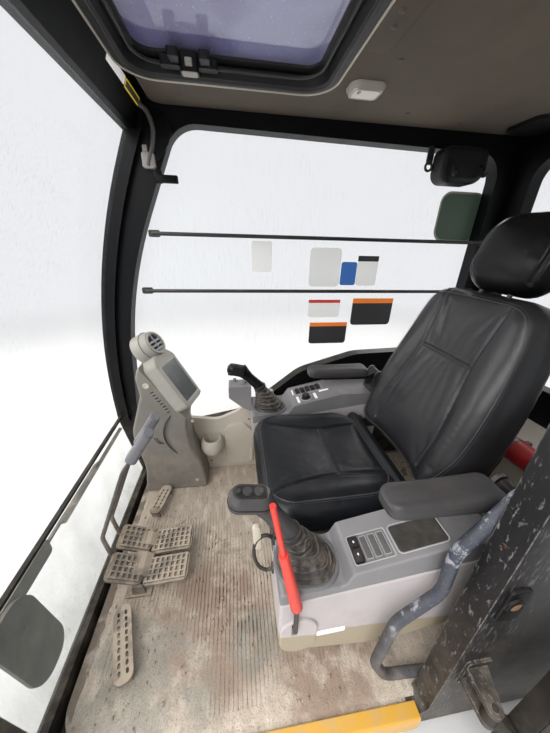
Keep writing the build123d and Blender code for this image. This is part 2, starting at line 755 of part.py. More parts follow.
slope_foot = (-92, 550)      # the top rises from here to its level rear
slope_head = (120, 598)
slope = atan2(slope_head[1] - slope_foot[1], slope_head[0] - slope_foot[0])
slope_plane = Plane(origin=(left_console_inner + 74, *slope_foot), x_dir=(1, 0, 0), z_dir=(0, -sin(slope), cos(slope)))
pocket_width = 60
switch_middle = 56
switch_length = 88
switch_pitch = 21
tray_middle = 168
tray_length = 112
tray_depth = 22
with BuildPart() as left_console_top:
    with BuildSketch(side_plane(left_console_inner)):
        outline((
            (console_front, console_joint, 4), (console_front, left_lever[2], 10), (-108, left_lever[2], 16),
            (*slope_foot, 14), (*slope_head, 30), (left_console_rear, 600, 20), (left_console_rear, 552, 6),
        ))
    extrude(amount=console_width)
    fillet(left_console_top.faces().sort_by(Axis.X)[-1].edges(), 5)
    with BuildSketch(slope_plane) as panel_recess:
        with Locations((0, switch_middle)):
            RectangleRounded(pocket_width, switch_length, 4)
    extrude(panel_recess.sketch, amount=-3, mode=Mode.SUBTRACT)
    with BuildSketch(slope_plane) as tray:
        with Locations((0, tray_middle)):
            RectangleRounded(pocket_width, tray_length, 8)
    extrude(tray.sketch, amount=-tray_depth, mode=Mode.SUBTRACT)
    with BuildSketch(slope_plane.offset(-3)) as pads:
        with Locations(*[(0, switch_middle + (place - 1.5) * switch_pitch) for place in range(4)]):
            RectangleRounded(pocket_width - 8, switch_pitch - 4, 3)
    extrude(pads.sketch, amount=3.5)

right_console_front = -262
with BuildPart() as right_console_housing:
    with BuildSketch(side_plane(right_console_outer)):
        outline((
            (right_console_front, 300, 40), (right_console_front, 470, 6), (right_console_rear, 546, 6),
            (right_console_rear, 300, 50), (30, 250, 60),
        ))
    extrude(amount=right_console_inner - right_console_outer)
with BuildPart() as right_console_top:
    with BuildSketch(side_plane(right_console_outer)):
        outline((
            (right_console_front, 470, 4), (right_console_front, right_lever[2], 10),
            (-108, right_lever[2], 20), (-84, 546, 14), (120, 592, 30), (right_console_rear, 594, 20),
            (right_console_rear, 546, 6),
        ))
    extrude(amount=right_console_inner - right_console_outer)
    with BuildSketch(side_plane(-inner_face + trim_depth + 2)) as knob_box:
        outline(((-362, 546, 10), (-362, 600, 8), (right_console_front, 600, 6),
                 (right_console_front, 470, 4), (-300, 490, 30)))
    extrude(knob_box.sketch, amount=74)
    with BuildSketch(level(600)) as knobs:
        with Locations((-408, -334), (-384, -290)):
            Circle(10)
    extrude(knobs.sketch, amount=14, taper=12)

# Control levers: bellows boots and leaning grips

boot_height = 108
boot_folds = 7
boot_foot = (114, 138)      # across, along
boot_top = 46
boot_shift = -44            # the boot leans forward to its top


def bellows(base):
    """Leaning bellows: each fold swells and draws in, from the oblong foot to the round top."""
    x, y, z = base
    step = boot_height / boot_folds

    def ring(share, inset):
        """Rounded section at a share of the height."""
        width, length = [foot + (boot_top - foot) * share - 2 * inset for foot in boot_foot]
        with BuildSketch(level(z + boot_height * share)) as section:
            with Locations((x, y + boot_shift * share ** 1.4)):
                RectangleRounded(width, length, min(width, length) * 0.49 - 2)
        return section.sketch

    for fold in range(boot_folds):
        low, middle, high = fold / boot_folds, (fold + 0.45) / boot_folds, (fold + 1) / boot_folds
        loft([ring(low, 7), ring(middle, 0)], ruled=True)
        loft([ring(middle, 0), ring(high, 7)], ruled=True)


def grip(base, lean_forward, height, head_tilt_up):
    """Thick neck that leans forward from the boot to a hammer-shaped head with two thumb buttons."""
    x, y, z = base
    tilt = radians(lean_forward)
    foot_y = y + boot_shift
    stem = Plane(origin=(x, foot_y, z + boot_height), x_dir=(1, 0, 0), z_dir=(0, -sin(tilt), cos(tilt)))
    sections = []
    for share, half_x, half_y in ((-0.08, 22, 24), (0.22, 19, 21), (0.6, 17, 20), (0.85, 20, 25), (1.06, 22, 30)):
        with BuildSketch(stem.offset(share * height)) as section:
            Ellipse(half_x, half_y)
        sections.append(section.sketch)
    loft(sections, ruled=True)
    rise = radians(head_tilt_up)
    middle = Vector(x, foot_y - sin(tilt) * height - 16, z + boot_height + cos(tilt) * height)
    head = Plane(origin=middle, x_dir=(0, -cos(rise), sin(rise)), z_dir=(0, sin(rise), cos(rise)))
    block_rings = []
    for distance, length, width in ((-18, 72, 34), (-10, 86, 48), (10, 88, 50), (22, 74, 38)):
        with BuildSketch(head.offset(distance)) as block_ring:
            RectangleRounded(length, width, 0.46 * width)
        block_rings.append(block_ring.sketch)
    loft(block_rings, ruled=True)
    with BuildSketch(head.offset(22)) as buttons:
        with Locations((8, 0), (-14, 0)):
            Circle(8)
    extrude(buttons.sketch, amount=4)
    with BuildSketch(level(z + boot_height)) as boot_cut:
        with Locations((x, foot_y)):
            Circle(60)
    extrude(boot_cut.sketch, amount=-40, mode=Mode.SUBTRACT)


with BuildPart() as lever_boots:
    bellows(left_lever)
    bellows(right_lever)
with BuildPart() as left_joystick:
    grip(left_lever, 32, 124, 8)
with BuildPart() as right_joystick:
    grip(right_lever, 44, 108, 14)

# Safety lock lever on the outer side of the left console
lock_top = (-272, 800)
grip_bend = (-250, 672)
with BuildPart() as lock_lever:
    with BuildLine(side_plane(left_console_outer + boss_proud + 6)) as lock_line:
        FilletPolyline(lock_pivot, (-215, 500), grip_bend, lock_top, radius=60)
    with BuildSketch(Plane(lock_line.line @ 0, z_dir=lock_line.line % 0)):
        Circle(5.5)
    sweep()
    with BuildSketch(Plane(origin=(left_console_outer + boss_proud + 6, -216, 496), x_dir=(1, 0, 0),
                           z_dir=(0, -0.19, 0.98))) as thick_low:
        Circle(13)
    with BuildSketch(Plane(origin=(left_console_outer + boss_proud + 6, *grip_bend), x_dir=(1, 0, 0),
                           z_dir=(0, -0.19, 0.98))) as thick_high:
        Circle(9)
    loft([thick_low.sketch, thick_high.sketch], ruled=True)
    with BuildSketch(side_plane(left_console_outer - 2)) as pivot:
        with Locations(lock_pivot):
            Circle(5.5)
    extrude(pivot.sketch, amount=boss_proud + 10)

# Armrests: pad on a hinged arm, and the bracket on its console
left_pivot = (266, 696)
right_pivot = (278, 676)


def armrest_pad(x, pivot):
    """Pad that runs forward from the hinge."""
    y, z = pivot
    with BuildSketch(level(z - 6)) as pad:
        with Locations((x, y - 42 - armrest_length / 2)):
            RectangleRounded(armrest_width, armrest_length, 24)
    extrude(pad.sketch, amount=armrest_thickness - 8)


def armrest_arm(x, pivot):
    """Plate under the pad with the hinge eye behind it."""
    y, z = pivot
    with BuildSketch(side_plane(x - 22)) as arm:
        outline(((y, z + 14, 6), (y - 40, z - 6, 4), (y - armrest_length + 10, z - 6, 4),
                 (y - armrest_length + 20, z - 18, 6), (y - 40, z - 22, 8), (y, z - 14, 6)))
        with Locations(pivot):
            Circle(15)
            Circle(6.3, mode=Mode.SUBTRACT)
    extrude(arm.sketch, amount=44)


def armrest_bracket(x, pivot, foot_z):
    """Two cheeks on a foot, with the hinge pin between them."""
    y, z = pivot
    for side in (-1, 1):
        with BuildSketch(side_plane(x + side * 32 - 5)) as cheek:
            outline(((y - 26, foot_z, 4), (y - 18, z, 10), (y - 10, z + 16, 12),
                     (y + 12, z + 16, 12), (y + 20, z, 10), (y + 22, foot_z, 4)))
        extrude(cheek.sketch, amount=10)
    with BuildSketch(side_plane(x - 34)) as pin:
        with Locations(pivot):
            Circle(6)
    extrude(pin.sketch, amount=68)
    with BuildSketch(level(foot_z)) as foot:
        with Locations((x, y - 2)):
            Rectangle(74, 46)
    extrude(foot.sketch, amount=10)


left_arm_x = 365
right_arm_x = -294
with BuildPart() as left_armrest_pad:
    armrest_pad(left_arm_x, left_pivot)
    fillet(left_armrest_pad.faces().sort_by(Axis.Z)[-1].edges(), 14)
with BuildPart() as left_armrest_arm:
    armrest_arm(left_arm_x, left_pivot)
with BuildPart() as armrest_brackets:
    armrest_bracket(left_arm_x, left_pivot, 600)
    armrest_bracket(right_arm_x, right_pivot, 594)
with BuildPart() as right_armrest_pad:
    armrest_pad(right_arm_x, right_pivot)
    fillet(right_armrest_pad.faces().sort_by(Axis.Z)[-1].edges(), 14)
with BuildPart() as right_armrest_arm:
    armrest_arm(right_arm_x, right_pivot)


# Travel pedals: heel and toe pads with raised ribs, a hub on the cross shaft, and a tall lever
pedal_width = 92
pedals = {"left": (95, 46), "right": (-10, -32)}        # middle of the pads, lever
pedal_shaft = (-676, 118)
pedal_shaft_radius = 9
pad_ribs = 18
grip_low = (-642, 584)
grip_high = (-576, 682)
grip_line = Vector(grip_high[0] - grip_low[0], grip_high[1] - grip_low[1])
grip_run = grip_line.normalized()


def pedal(x, lever_x):
    """One pedal, in side view, with its ribs cut to the pads' rounded outline."""
    shaft_y, shaft_z = pedal_shaft
    heel = Plane(origin=(x, -586, 140), x_dir=(1, 0, 0), z_dir=(0, -sin(radians(4)), cos(radians(4))))
    toe = Plane(origin=(x, -714, 168), x_dir=(1, 0, 0), z_dir=(0, sin(radians(24)), cos(radians(24))))
    for plane, length in ((heel, 146), (toe, 116)):
        with BuildSketch(plane) as pad:
            RectangleRounded(pedal_width, length, 16)
        extrude(pad.sketch, amount=-8)
        with BuildSketch(plane) as ribs:
            with GridLocations(0, pad_ribs, 1, int(length / pad_ribs)):
                SlotOverall(pedal_width - 10, 8)
            with GridLocations(pedal_width / 5, 0, 5, 1):
                Rectangle(5, length - 22)
        extrude(ribs.sketch, amount=7)
    hub_from = min(lever_x, x - 10) - 7
    with BuildSketch(side_plane(hub_from)) as hub:
        outline((
            (-640, 140, 2), (-662, 156, 2), (-700, 164, 2),
            (shaft_y - 18, shaft_z, 8), (shaft_y + 18, shaft_z, 8),
        ))
        with Locations(pedal_shaft):
            Circle(16)
            Circle(pedal_shaft_radius + wall_gap, mode=Mode.SUBTRACT)
    extrude(hub.sketch, amount=x + 22 - hub_from)


def travel_lever(x):
    """Bent rod from the pedal's hub up to the hand grip, in line with the grip at its top."""
    last_bend = (grip_low[0] - 55 * grip_run.X, grip_low[1] - 55 * grip_run.Y)
    with BuildLine(side_plane(x)) as rod:
        FilletPolyline((-690, 138), (-778, 160), (-790, 262), last_bend, grip_low, radius=(40, 60, 120))
    with BuildSketch(Plane(rod.line @ 0, z_dir=rod.line % 0)) as rod_section:
        Circle(7)
    sweep(rod_section.sketch, path=rod.line)


with BuildPart() as left_travel_pedal:
    pedal(*pedals["left"])
    travel_lever(pedals["left"][1])
with BuildPart() as right_travel_pedal:
    pedal(*pedals["right"])
    travel_lever(pedals["right"][1])


def lever_grip(x):
    """Flat hand grip over the rod's end, flared at its foot and waisted at its joint."""
    foot = Plane(origin=(x, *grip_low), x_dir=(1, 0, 0), z_dir=(0, grip_run.X, grip_run.Y))
    sections = []
    for share, width, depth in ((0, 26, 22), (0.06, 46, 34), (0.5, 42, 31), (0.54, 38, 28), (0.6, 42, 31),
                                (0.96, 44, 32), (1, 34, 24)):
        with BuildSketch(foot.offset(share * grip_line.length)) as section:
            RectangleRounded(width, depth, 0.42 * depth)
        sections.append(section.sketch)
    loft(sections, ruled=True)


with BuildPart() as travel_grips:
    for _, lever_x in pedals.values():
        lever_grip(lever_x)

bracket_cheeks = (-68, 19, 128)
with BuildPart() as pedal_bracket:
    with BuildSketch(side_plane(bracket_cheeks[0])):
        with Locations(pedal_shaft):
            Circle(pedal_shaft_radius)
    extrude(amount=bracket_cheeks[-1] - bracket_cheeks[0] + 8)
    for x in bracket_cheeks:
        with BuildSketch(side_plane(x)):
            outline(((-700, floor_top, 0), (-692, 128, 10), (-660, 128, 10), (-652, floor_top, 0)))
        extrude(amount=8)
    with BuildSketch(level(floor_top)):
        with Locations(((bracket_cheeks[0] + bracket_cheeks[-1] + 8) / 2, -676)):
            Rectangle(bracket_cheeks[-1] - bracket_cheeks[0] + 22, 80)
    extrude(amount=6)

# Slotted footrests either side of the pedals, their outer ends further back
footrest_width = 50
footrest_top = 118
footrest_bars = (((178, -709), (360, -644)), ((-149, -696), (-296, -665)))      # inner end, outer end


def footrest(inner_end, outer_end):
    """Slim bar with rounded ends, two rows of slots and a foot at each end."""
    bar = Vector(outer_end[0] - inner_end[0], outer_end[1] - inner_end[1])
    middle = ((inner_end[0] + outer_end[0]) / 2, (inner_end[1] + outer_end[1]) / 2)
    along = bar.normalized()
    top = Plane(origin=(*middle, footrest_top), x_dir=(along.X, along.Y, 0), z_dir=(0, 0, 1))
    with BuildSketch(top) as plate:
        RectangleRounded(bar.length, footrest_width, footrest_width * 0.42)
        with GridLocations(18, 20, int((bar.length - 30) / 18), 2):
            SlotOverall(13, 7, mode=Mode.SUBTRACT)
    extrude(plate.sketch, amount=-8)
    with BuildSketch(top.offset(floor_top - footrest_top)) as feet:
        with Locations((-bar.length / 2 + 16, 0), (bar.length / 2 - 16, 0)):
            Rectangle(8, 36)
    extrude(feet.sketch, amount=footrest_top - floor_top - 6)


with BuildPart() as footrest_plates:
    for ends in footrest_bars:
        footrest(*ends)

# Grab rail: bent tube in front of the left console, fixed to the pillar at both ends
rail_x = 434
rail_radius = 13
grab_points = (
    (half_width - side_depth + 2, 196, 806), (rail_x, 176, 776), (rail_x, 96, 628), (rail_x, 104, 494),
    (rail_x, 18, 392), (rail_x, 2, 206), (rail_x, 44, 122), (rail_x, 168, 102),
    (half_width - side_depth + 2, 192, 102),
)
with BuildPart() as grab_rail:
    with BuildLine() as rail_line:
        FilletPolyline(*grab_points, radius=(50, 55, 60, 70, 45, 50, 10))
    with BuildSketch(Plane(rail_line.line @ 0, z_dir=rail_line.line % 0)):
        Circle(rail_radius)
    sweep()
    with BuildSketch(side_plane(half_width - side_depth)):
        with Locations(grab_points[0][1:], grab_points[-1][1:]):
            Circle(24)
    extrude(amount=-5)
    with BuildSketch(side_plane(half_width - side_depth)):
        Rectangle(3000, 3000)
    extrude(amount=30, mode=Mode.SUBTRACT)

# Door, stored folded back against the side; its rows are written for the closed door
door_rows = (
    (-758, 122, 50),
    (-811, 397, 240),
    (-811, 981, 2200),
    (-555, doorway_top, 110),
    (doorway_rear, doorway_top, 60),
    (doorway_rear, 122, 40),
)
door_windows = {
    "upper": ((-752, 792, 40), (-757, 985, 560), (-512, 1492, 90), (84, 1492, 50), (84, 792, 50)),
    "lower": ((-728, 330, 60), (-757, 430, 60), (-757, 690, 50), (84, 690, 50), (84, 330, 60)),
}
door_inner = half_width + swing_gap + 13
door_outer = door_inner + door_thickness


def door_plane(x):
    """Sketch plane in the closed door's own y and z, placed where the open door stands."""
    return Plane(origin=(2 * hinge_x - x, 2 * hinge_y, 0), x_dir=(0, -1, 0), z_dir=(-1, 0, 0))


def door_knuckles():
    """Knuckles and pins on the door, between the pillar's lugs."""
    for z in hinge_heights:
        with BuildSketch(level(z - hinge_knuckle / 2)) as knuckle:
            with Locations((hinge_x, hinge_y)):
                Circle(hinge_barrel / 2)
            outline((
                (hinge_x, hinge_y - 2, 0), (hinge_x + 14, hinge_y + 2, 2),
                (2 * hinge_x - door_inner, hinge_y + 20, 2), (2 * hinge_x - door_inner, hinge_y + 24, 2),
                (2 * hinge_x - door_outer, hinge_y + 24, 2), (hinge_x, hinge_y + 14, 0),
            ))
        extrude(knuckle.sketch, amount=hinge_knuckle)
        with BuildSketch(level(z - hinge_knuckle / 2 - 14)) as pin:
            with Locations((hinge_x, hinge_y)):
                Circle(hinge_pin / 2)
        extrude(pin.sketch, amount=hinge_knuckle + 28)


with BuildPart() as door_frame:
    with BuildSketch(door_plane(door_inner)):
        outline(door_rows)
        offset(amount=door_lap)
        for rows in door_windows.values():
            with BuildSketch(mode=Mode.PRIVATE) as door_cut:
                outline(rows)
            add(door_cut.sketch, mode=Mode.SUBTRACT)
    extrude(amount=door_thickness)
    door_knuckles()

with BuildPart() as door_seal:
    with BuildSketch(door_plane(door_inner - 13)):
        outline(door_rows)
        offset(amount=door_lap - 5)
        with BuildSketch(mode=Mode.PRIVATE) as seal_inner:
            outline(door_rows)
            offset(amount=door_lap - 5 - 2 * seal_radius)
        add(seal_inner.sketch, mode=Mode.SUBTRACT)
    extrude(amount=13)

with BuildPart() as door_glass:
    for rows in door_windows.values():
        with BuildSketch(door_plane(door_outer)) as pane:
            outline(rows)
            offset(amount=12)
        extrude(pane.sketch, amount=glass)

with BuildPart() as door_handles:
    with BuildSketch(door_plane(door_outer)):
        with Locations((-640, 741)):
            RectangleRounded(150, 62, 14)
    extrude(amount=8)
    with BuildSketch(door_plane(door_outer + 8)):
        with Locations((-640, 741)):
            RectangleRounded(120, 24, 10)
    extrude(amount=24)

    bow_plane = Plane(origin=(2 * hinge_x - door_inner, 2 * hinge_y, 741), x_dir=(0, -1, 0), z_dir=(0, 0, 1))
    with BuildLine(bow_plane) as bow:
        FilletPolyline((-700, 0), (-700, 44), (-540, 44), (-540, 0), radius=20)
    with BuildSketch(Plane(bow.line @ 0, z_dir=bow.line % 0)) as bow_section:
        Circle(9)
    sweep(bow_section.sketch, path=bow.line)

# Roof hatch: pane in a tray-shaped ring that hangs in the opening, hinged at the rear, with two latches
with BuildPart() as hatch_frame:
    wall_out = hatch_frame_edge
    hatch_ring(hatch_frame_bottom, hatch_flange_low + hatch_flange - hatch_frame_bottom, wall_out,
               wall_out - hatch_frame_wall)
    hatch_ring(hatch_frame_bottom, hatch_frame_wall, wall_out, -hatch_inner_lip)
    hatch_ring(hatch_flange_low, hatch_flange, wall_out + hatch_lip, wall_out - hatch_frame_wall)
    for side in (-1, 1):
        with BuildSketch(side_plane(side * hatch_hinge_x - 20)) as knuckle:
            with Locations((hatch_hinge_y, hatch_hinge_z)):
                Circle(hinge_eye)
            outline(((hatch_hinge_y, hatch_hinge_z + hinge_eye, 0), (hatch_hinge_y, hatch_hinge_z - hinge_eye, 0),
                     (hatch_hinge_y - 20, hatch_flange_low, 0),
                     (hatch_hinge_y - 20, hatch_flange_low + hatch_flange + 4, 0)))
        extrude(knuckle.sketch, amount=40)
        with BuildSketch(side_plane(side * hatch_hinge_x - 34)) as pin:
            with Locations((hatch_hinge_y, hatch_hinge_z)):
                Circle(4)
        extrude(pin.sketch, amount=68)

with BuildPart() as hatch_glass:
    with BuildSketch(level(hatch_frame_bottom + hatch_frame_wall)):
        hatch_outline(hatch_frame_edge - hatch_frame_wall - 3)
    extrude(amount=hatch_pane)

latch_y = -413
latch_x = hatch_half_width - hatch_inner_lip - 2
latch_drop = 38
with BuildPart() as hatch_latches:
    for side in (-1, 1):
        with BuildSketch(level(hatch_frame_bottom)) as body:
            with Locations((side * latch_x, latch_y)):
                RectangleRounded(30, 46, 8)
        extrude(body.sketch, amount=-latch_drop)
        for end in (-1, 1):
            with BuildSketch(level(hatch_frame_bottom - 8)) as wing:
                with Locations((side * latch_x, latch_y + end * 46)):
                    RectangleRounded(22, 48, 8)
            extrude(wing.sketch, amount=-20)

# Wiper: rounded motor cover low on the windscreen, arm and blade parked level
wiper_x = 298
cover_z = 255
cover_depth = 18
rake = atan2(front_foot - front_face, rake_top - skirt_bottom)
cover_y = front_foot - (cover_z - skirt_bottom) * tan(rake) + lower_pane_inset / cos(rake) - wall_gap
cover_plane = Plane(origin=(wiper_x, cover_y, cover_z), x_dir=(1, 0, 0), z_dir=(0, -cos(rake), -sin(rake)))
wiper_pivot_z = 346
blade_depth = 16
blade_edge_y = front_face + lower_pane_inset - 2 * wall_gap     # the blade's lip, just clear of the glass
blade_back_y = blade_edge_y - blade_depth
arm_back_y = blade_back_y + 6
arm_thickness = 18
channel_end = 108            # where the arm's channel gives way to the thin rod
blade_end = -456
blade_middle = -208
with BuildPart() as wiper_cover:
    with BuildSketch(cover_plane):
        RectangleRounded(124, 244, 54)
    extrude(amount=cover_depth)
    fillet(wiper_cover.faces().sort_by(Axis((0, 0, 0), cover_plane.z_dir))[-1].edges(), 10)
    with BuildSketch(cross_plane(arm_back_y + wall_gap)):
        with Locations((wiper_x, wiper_pivot_z)):
            Circle(13)
    extrude(amount=-16)

with BuildPart() as wiper_arm:
    with BuildSketch(cross_plane(arm_back_y)):
        with Locations((wiper_x, wiper_pivot_z)):
            Circle(24)
        outline((
            (wiper_x, wiper_pivot_z - 24, 0), (wiper_x, wiper_pivot_z + 24, 0),
            (channel_end, wiper_pivot_z + 28, 12), (channel_end, wiper_pivot_z - 28, 12),
        ))
    extrude(amount=arm_thickness)
    with BuildSketch(cross_plane(blade_back_y)):
        with Locations(((channel_end + blade_middle) / 2, wiper_pivot_z)):
            Rectangle(channel_end - blade_middle + 20, 9)
    extrude(amount=8)

    with BuildSketch(side_plane(blade_end)):
        outline((
            (blade_back_y, wiper_pivot_z - 6, 2), (blade_back_y, wiper_pivot_z + 6, 2),
            (blade_edge_y, wiper_pivot_z + 1, 1), (blade_edge_y, wiper_pivot_z - 1, 1),
        ))
    extrude(amount=2 * (blade_middle - blade_end))
    with BuildSketch(cross_plane(blade_back_y)):
        with Locations((blade_middle, wiper_pivot_z)):
            RectangleRounded(36, 20, 5)
    extrude(amount=-8)

# Small fittings on the lining and rails
with BuildPart() as dome_light:
    with BuildSketch(level(lining_bottom)):
        with Locations((-224, 52)):
            RectangleRounded(62, 88, 14)
    extrude(amount=-16, taper=14)

with BuildPart() as rail_housing:
    with BuildSketch(side_plane(-inner_face)):
        outline(((440, 1400, 40), (440, 1515, 30), (620, 1515, 30), (620, 1400, 50)))
    extrude(amount=70)
    fillet(rail_housing.faces().sort_by(Axis.X)[-1].edges(), 20)

pieces = {
    "base_frame": base_frame, "floor_mat": floor_mat, "right_side_frame": right_side_frame,
    "left_side_frame": left_side_frame, "rear_panel": rear_panel,
    "front_crossmembers": front_crossmembers, "windshield_panes": windshield_panes,
    "windshield_tracks": windshield_tracks, "fixed_window_panes": fixed_window_panes,
    "outer_skins": outer_skins, "window_guard_bars": window_guard_bars, "roof_panel": roof_panel,
    "headliner": headliner, "speakers": speakers, "hatch_trim": hatch_trim,
    "right_trim": right_trim, "cup_holder": cup_holder, "rear_shelf": rear_shelf,
    "monitor_column": monitor_column, "monitor_head": monitor_head,
    "monitor_screen": monitor_screen, "air_vent": air_vent, "seat_base": seat_base,
    "seat_pan": seat_pan, "seat_cushion": seat_cushion, "seat_back": seat_back,
    "backrest_shell": backrest_shell, "headrest": headrest, "headrest_posts": headrest_posts,
    "left_console_housing": left_console_housing, "left_console_top": left_console_top,
    "right_console_housing": right_console_housing, "right_console_top": right_console_top,
    "lever_boots": lever_boots, "left_joystick": left_joystick, "right_joystick": right_joystick,
    "lock_lever": lock_lever, "left_armrest_pad": left_armrest_pad,
    "left_armrest_arm": left_armrest_arm, "right_armrest_pad": right_armrest_pad,
    "right_armrest_arm": right_armrest_arm, "armrest_brackets": armrest_brackets,
    "left_travel_pedal": left_travel_pedal, "right_travel_pedal": right_travel_pedal,
    "travel_grips": travel_grips, "pedal_bracket": pedal_bracket,
    "footrest_plates": footrest_plates, "grab_rail": grab_rail, "door_frame": door_frame,
    "door_seal": door_seal, "door_glass": door_glass, "door_handles": door_handles,
    "hatch_frame": hatch_frame, "hatch_glass": hatch_glass, "hatch_latches": hatch_latches,
    "wiper_cover": wiper_cover, "wiper_arm": wiper_arm,
    "dome_light": dome_light, "rail_housing": rail_housing,
}
print(len(pieces), "pieces")
for name, piece in pieces.items():
    piece.part.label = name
    export_step(piece.part, f"parts/{name}.step")
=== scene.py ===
# %% [markdown]
# # An excavator operator's cab
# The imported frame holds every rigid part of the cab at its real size. This lesson dresses it: each part gets
# a finish made of nodes, and the soft or moulded parts get meshes of their own. Everything is in metres,
# with +Z up, the front towards -Y, and the door on the +X side.
# %% Load the frame
import json
import math

import bmesh
import bpy
import numpy as np
from mathutils import Matrix, Vector, noise as field
from mathutils.bvhtree import BVHTree


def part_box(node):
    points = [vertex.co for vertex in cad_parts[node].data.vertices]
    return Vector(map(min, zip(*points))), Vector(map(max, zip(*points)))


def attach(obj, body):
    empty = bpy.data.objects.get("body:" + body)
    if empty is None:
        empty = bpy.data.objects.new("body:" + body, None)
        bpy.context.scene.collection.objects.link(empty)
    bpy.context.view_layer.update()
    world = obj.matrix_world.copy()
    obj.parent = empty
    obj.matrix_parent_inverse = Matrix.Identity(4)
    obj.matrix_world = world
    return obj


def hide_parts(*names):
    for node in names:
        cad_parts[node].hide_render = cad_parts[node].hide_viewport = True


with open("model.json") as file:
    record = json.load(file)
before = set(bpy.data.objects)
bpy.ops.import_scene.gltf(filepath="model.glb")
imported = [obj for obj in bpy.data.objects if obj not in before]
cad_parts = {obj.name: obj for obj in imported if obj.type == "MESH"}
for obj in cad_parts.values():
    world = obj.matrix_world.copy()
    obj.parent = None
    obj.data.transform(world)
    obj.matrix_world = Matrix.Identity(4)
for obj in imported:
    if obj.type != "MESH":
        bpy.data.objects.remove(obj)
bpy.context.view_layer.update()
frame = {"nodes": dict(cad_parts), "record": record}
nodes = frame["nodes"]
scene = bpy.context.scene

# %% [markdown]
# ## Camera
# The photograph was taken through the open doorway with a very wide lens. Its three directions were worked
# back from the lines of the cab, and the lens from their vanishing points: 275 pixels in a picture 733 tall.
# %% Camera
PICTURE_HEIGHT = 733
FOCAL_PIXELS = 275
SENSOR = 36.0
CAMERA_PLACE = (0.725, -0.32, 1.18)
camera_right = Vector((0.138, 0.990, 0.024))
camera_up = Vector((-0.408, 0.035, 0.912))
camera_back = camera_right.cross(camera_up).normalized()
camera_up = camera_back.cross(camera_right).normalized()
turn = Matrix((camera_right.normalized(), camera_up, camera_back)).transposed()
camera_data = bpy.data.cameras.new("camera")
camera_data.sensor_width = SENSOR
camera_data.lens = SENSOR * FOCAL_PIXELS / PICTURE_HEIGHT
camera_data.clip_start = 0.01
camera = bpy.data.objects.new("camera", camera_data)
camera.matrix_world = Matrix.Translation(CAMERA_PLACE) @ turn.to_4x4()
scene.collection.objects.link(camera)
scene.camera = camera
scene.view_settings.view_transform = "Standard"

# %% [markdown]
# ## Shader maths in Python
# A finish is a network of nodes. Linking them by hand is slow to read, so one class wraps a socket and gives
# it the usual operators, and one method makes any node. The rest of the lesson writes masks as plain sums.
# %% Sockets as numbers


class Tap:
    """A node's output. Python's operators on it add Math nodes."""

    def __init__(self, finish, socket):
        self.finish = finish
        self.socket = socket

    def calc(self, operation, *others):
        values = dict(enumerate((self, *others)))
        return self.finish.node("ShaderNodeMath", {"operation": operation}, values)

    def __add__(self, other):
        return self.calc("ADD", other)

    def __mul__(self, other):
        return self.calc("MULTIPLY", other)

    def __sub__(self, other):
        return self.calc("SUBTRACT", other)

    def __rsub__(self, other):
        return self * -1.0 + other

    def __pow__(self, other):
        return self.calc("POWER", other)

    __radd__ = __add__
    __rmul__ = __mul__

    def clamp(self):
        return self.finish.node("ShaderNodeClamp", {}, {0: self})

    def ramp(self, low, high):
        """0 below low, 1 above high, smooth between."""
        settings = {"interpolation_type": "SMOOTHSTEP"}
        return self.finish.node("ShaderNodeMapRange", settings, {0: self, 1: low, 2: high})


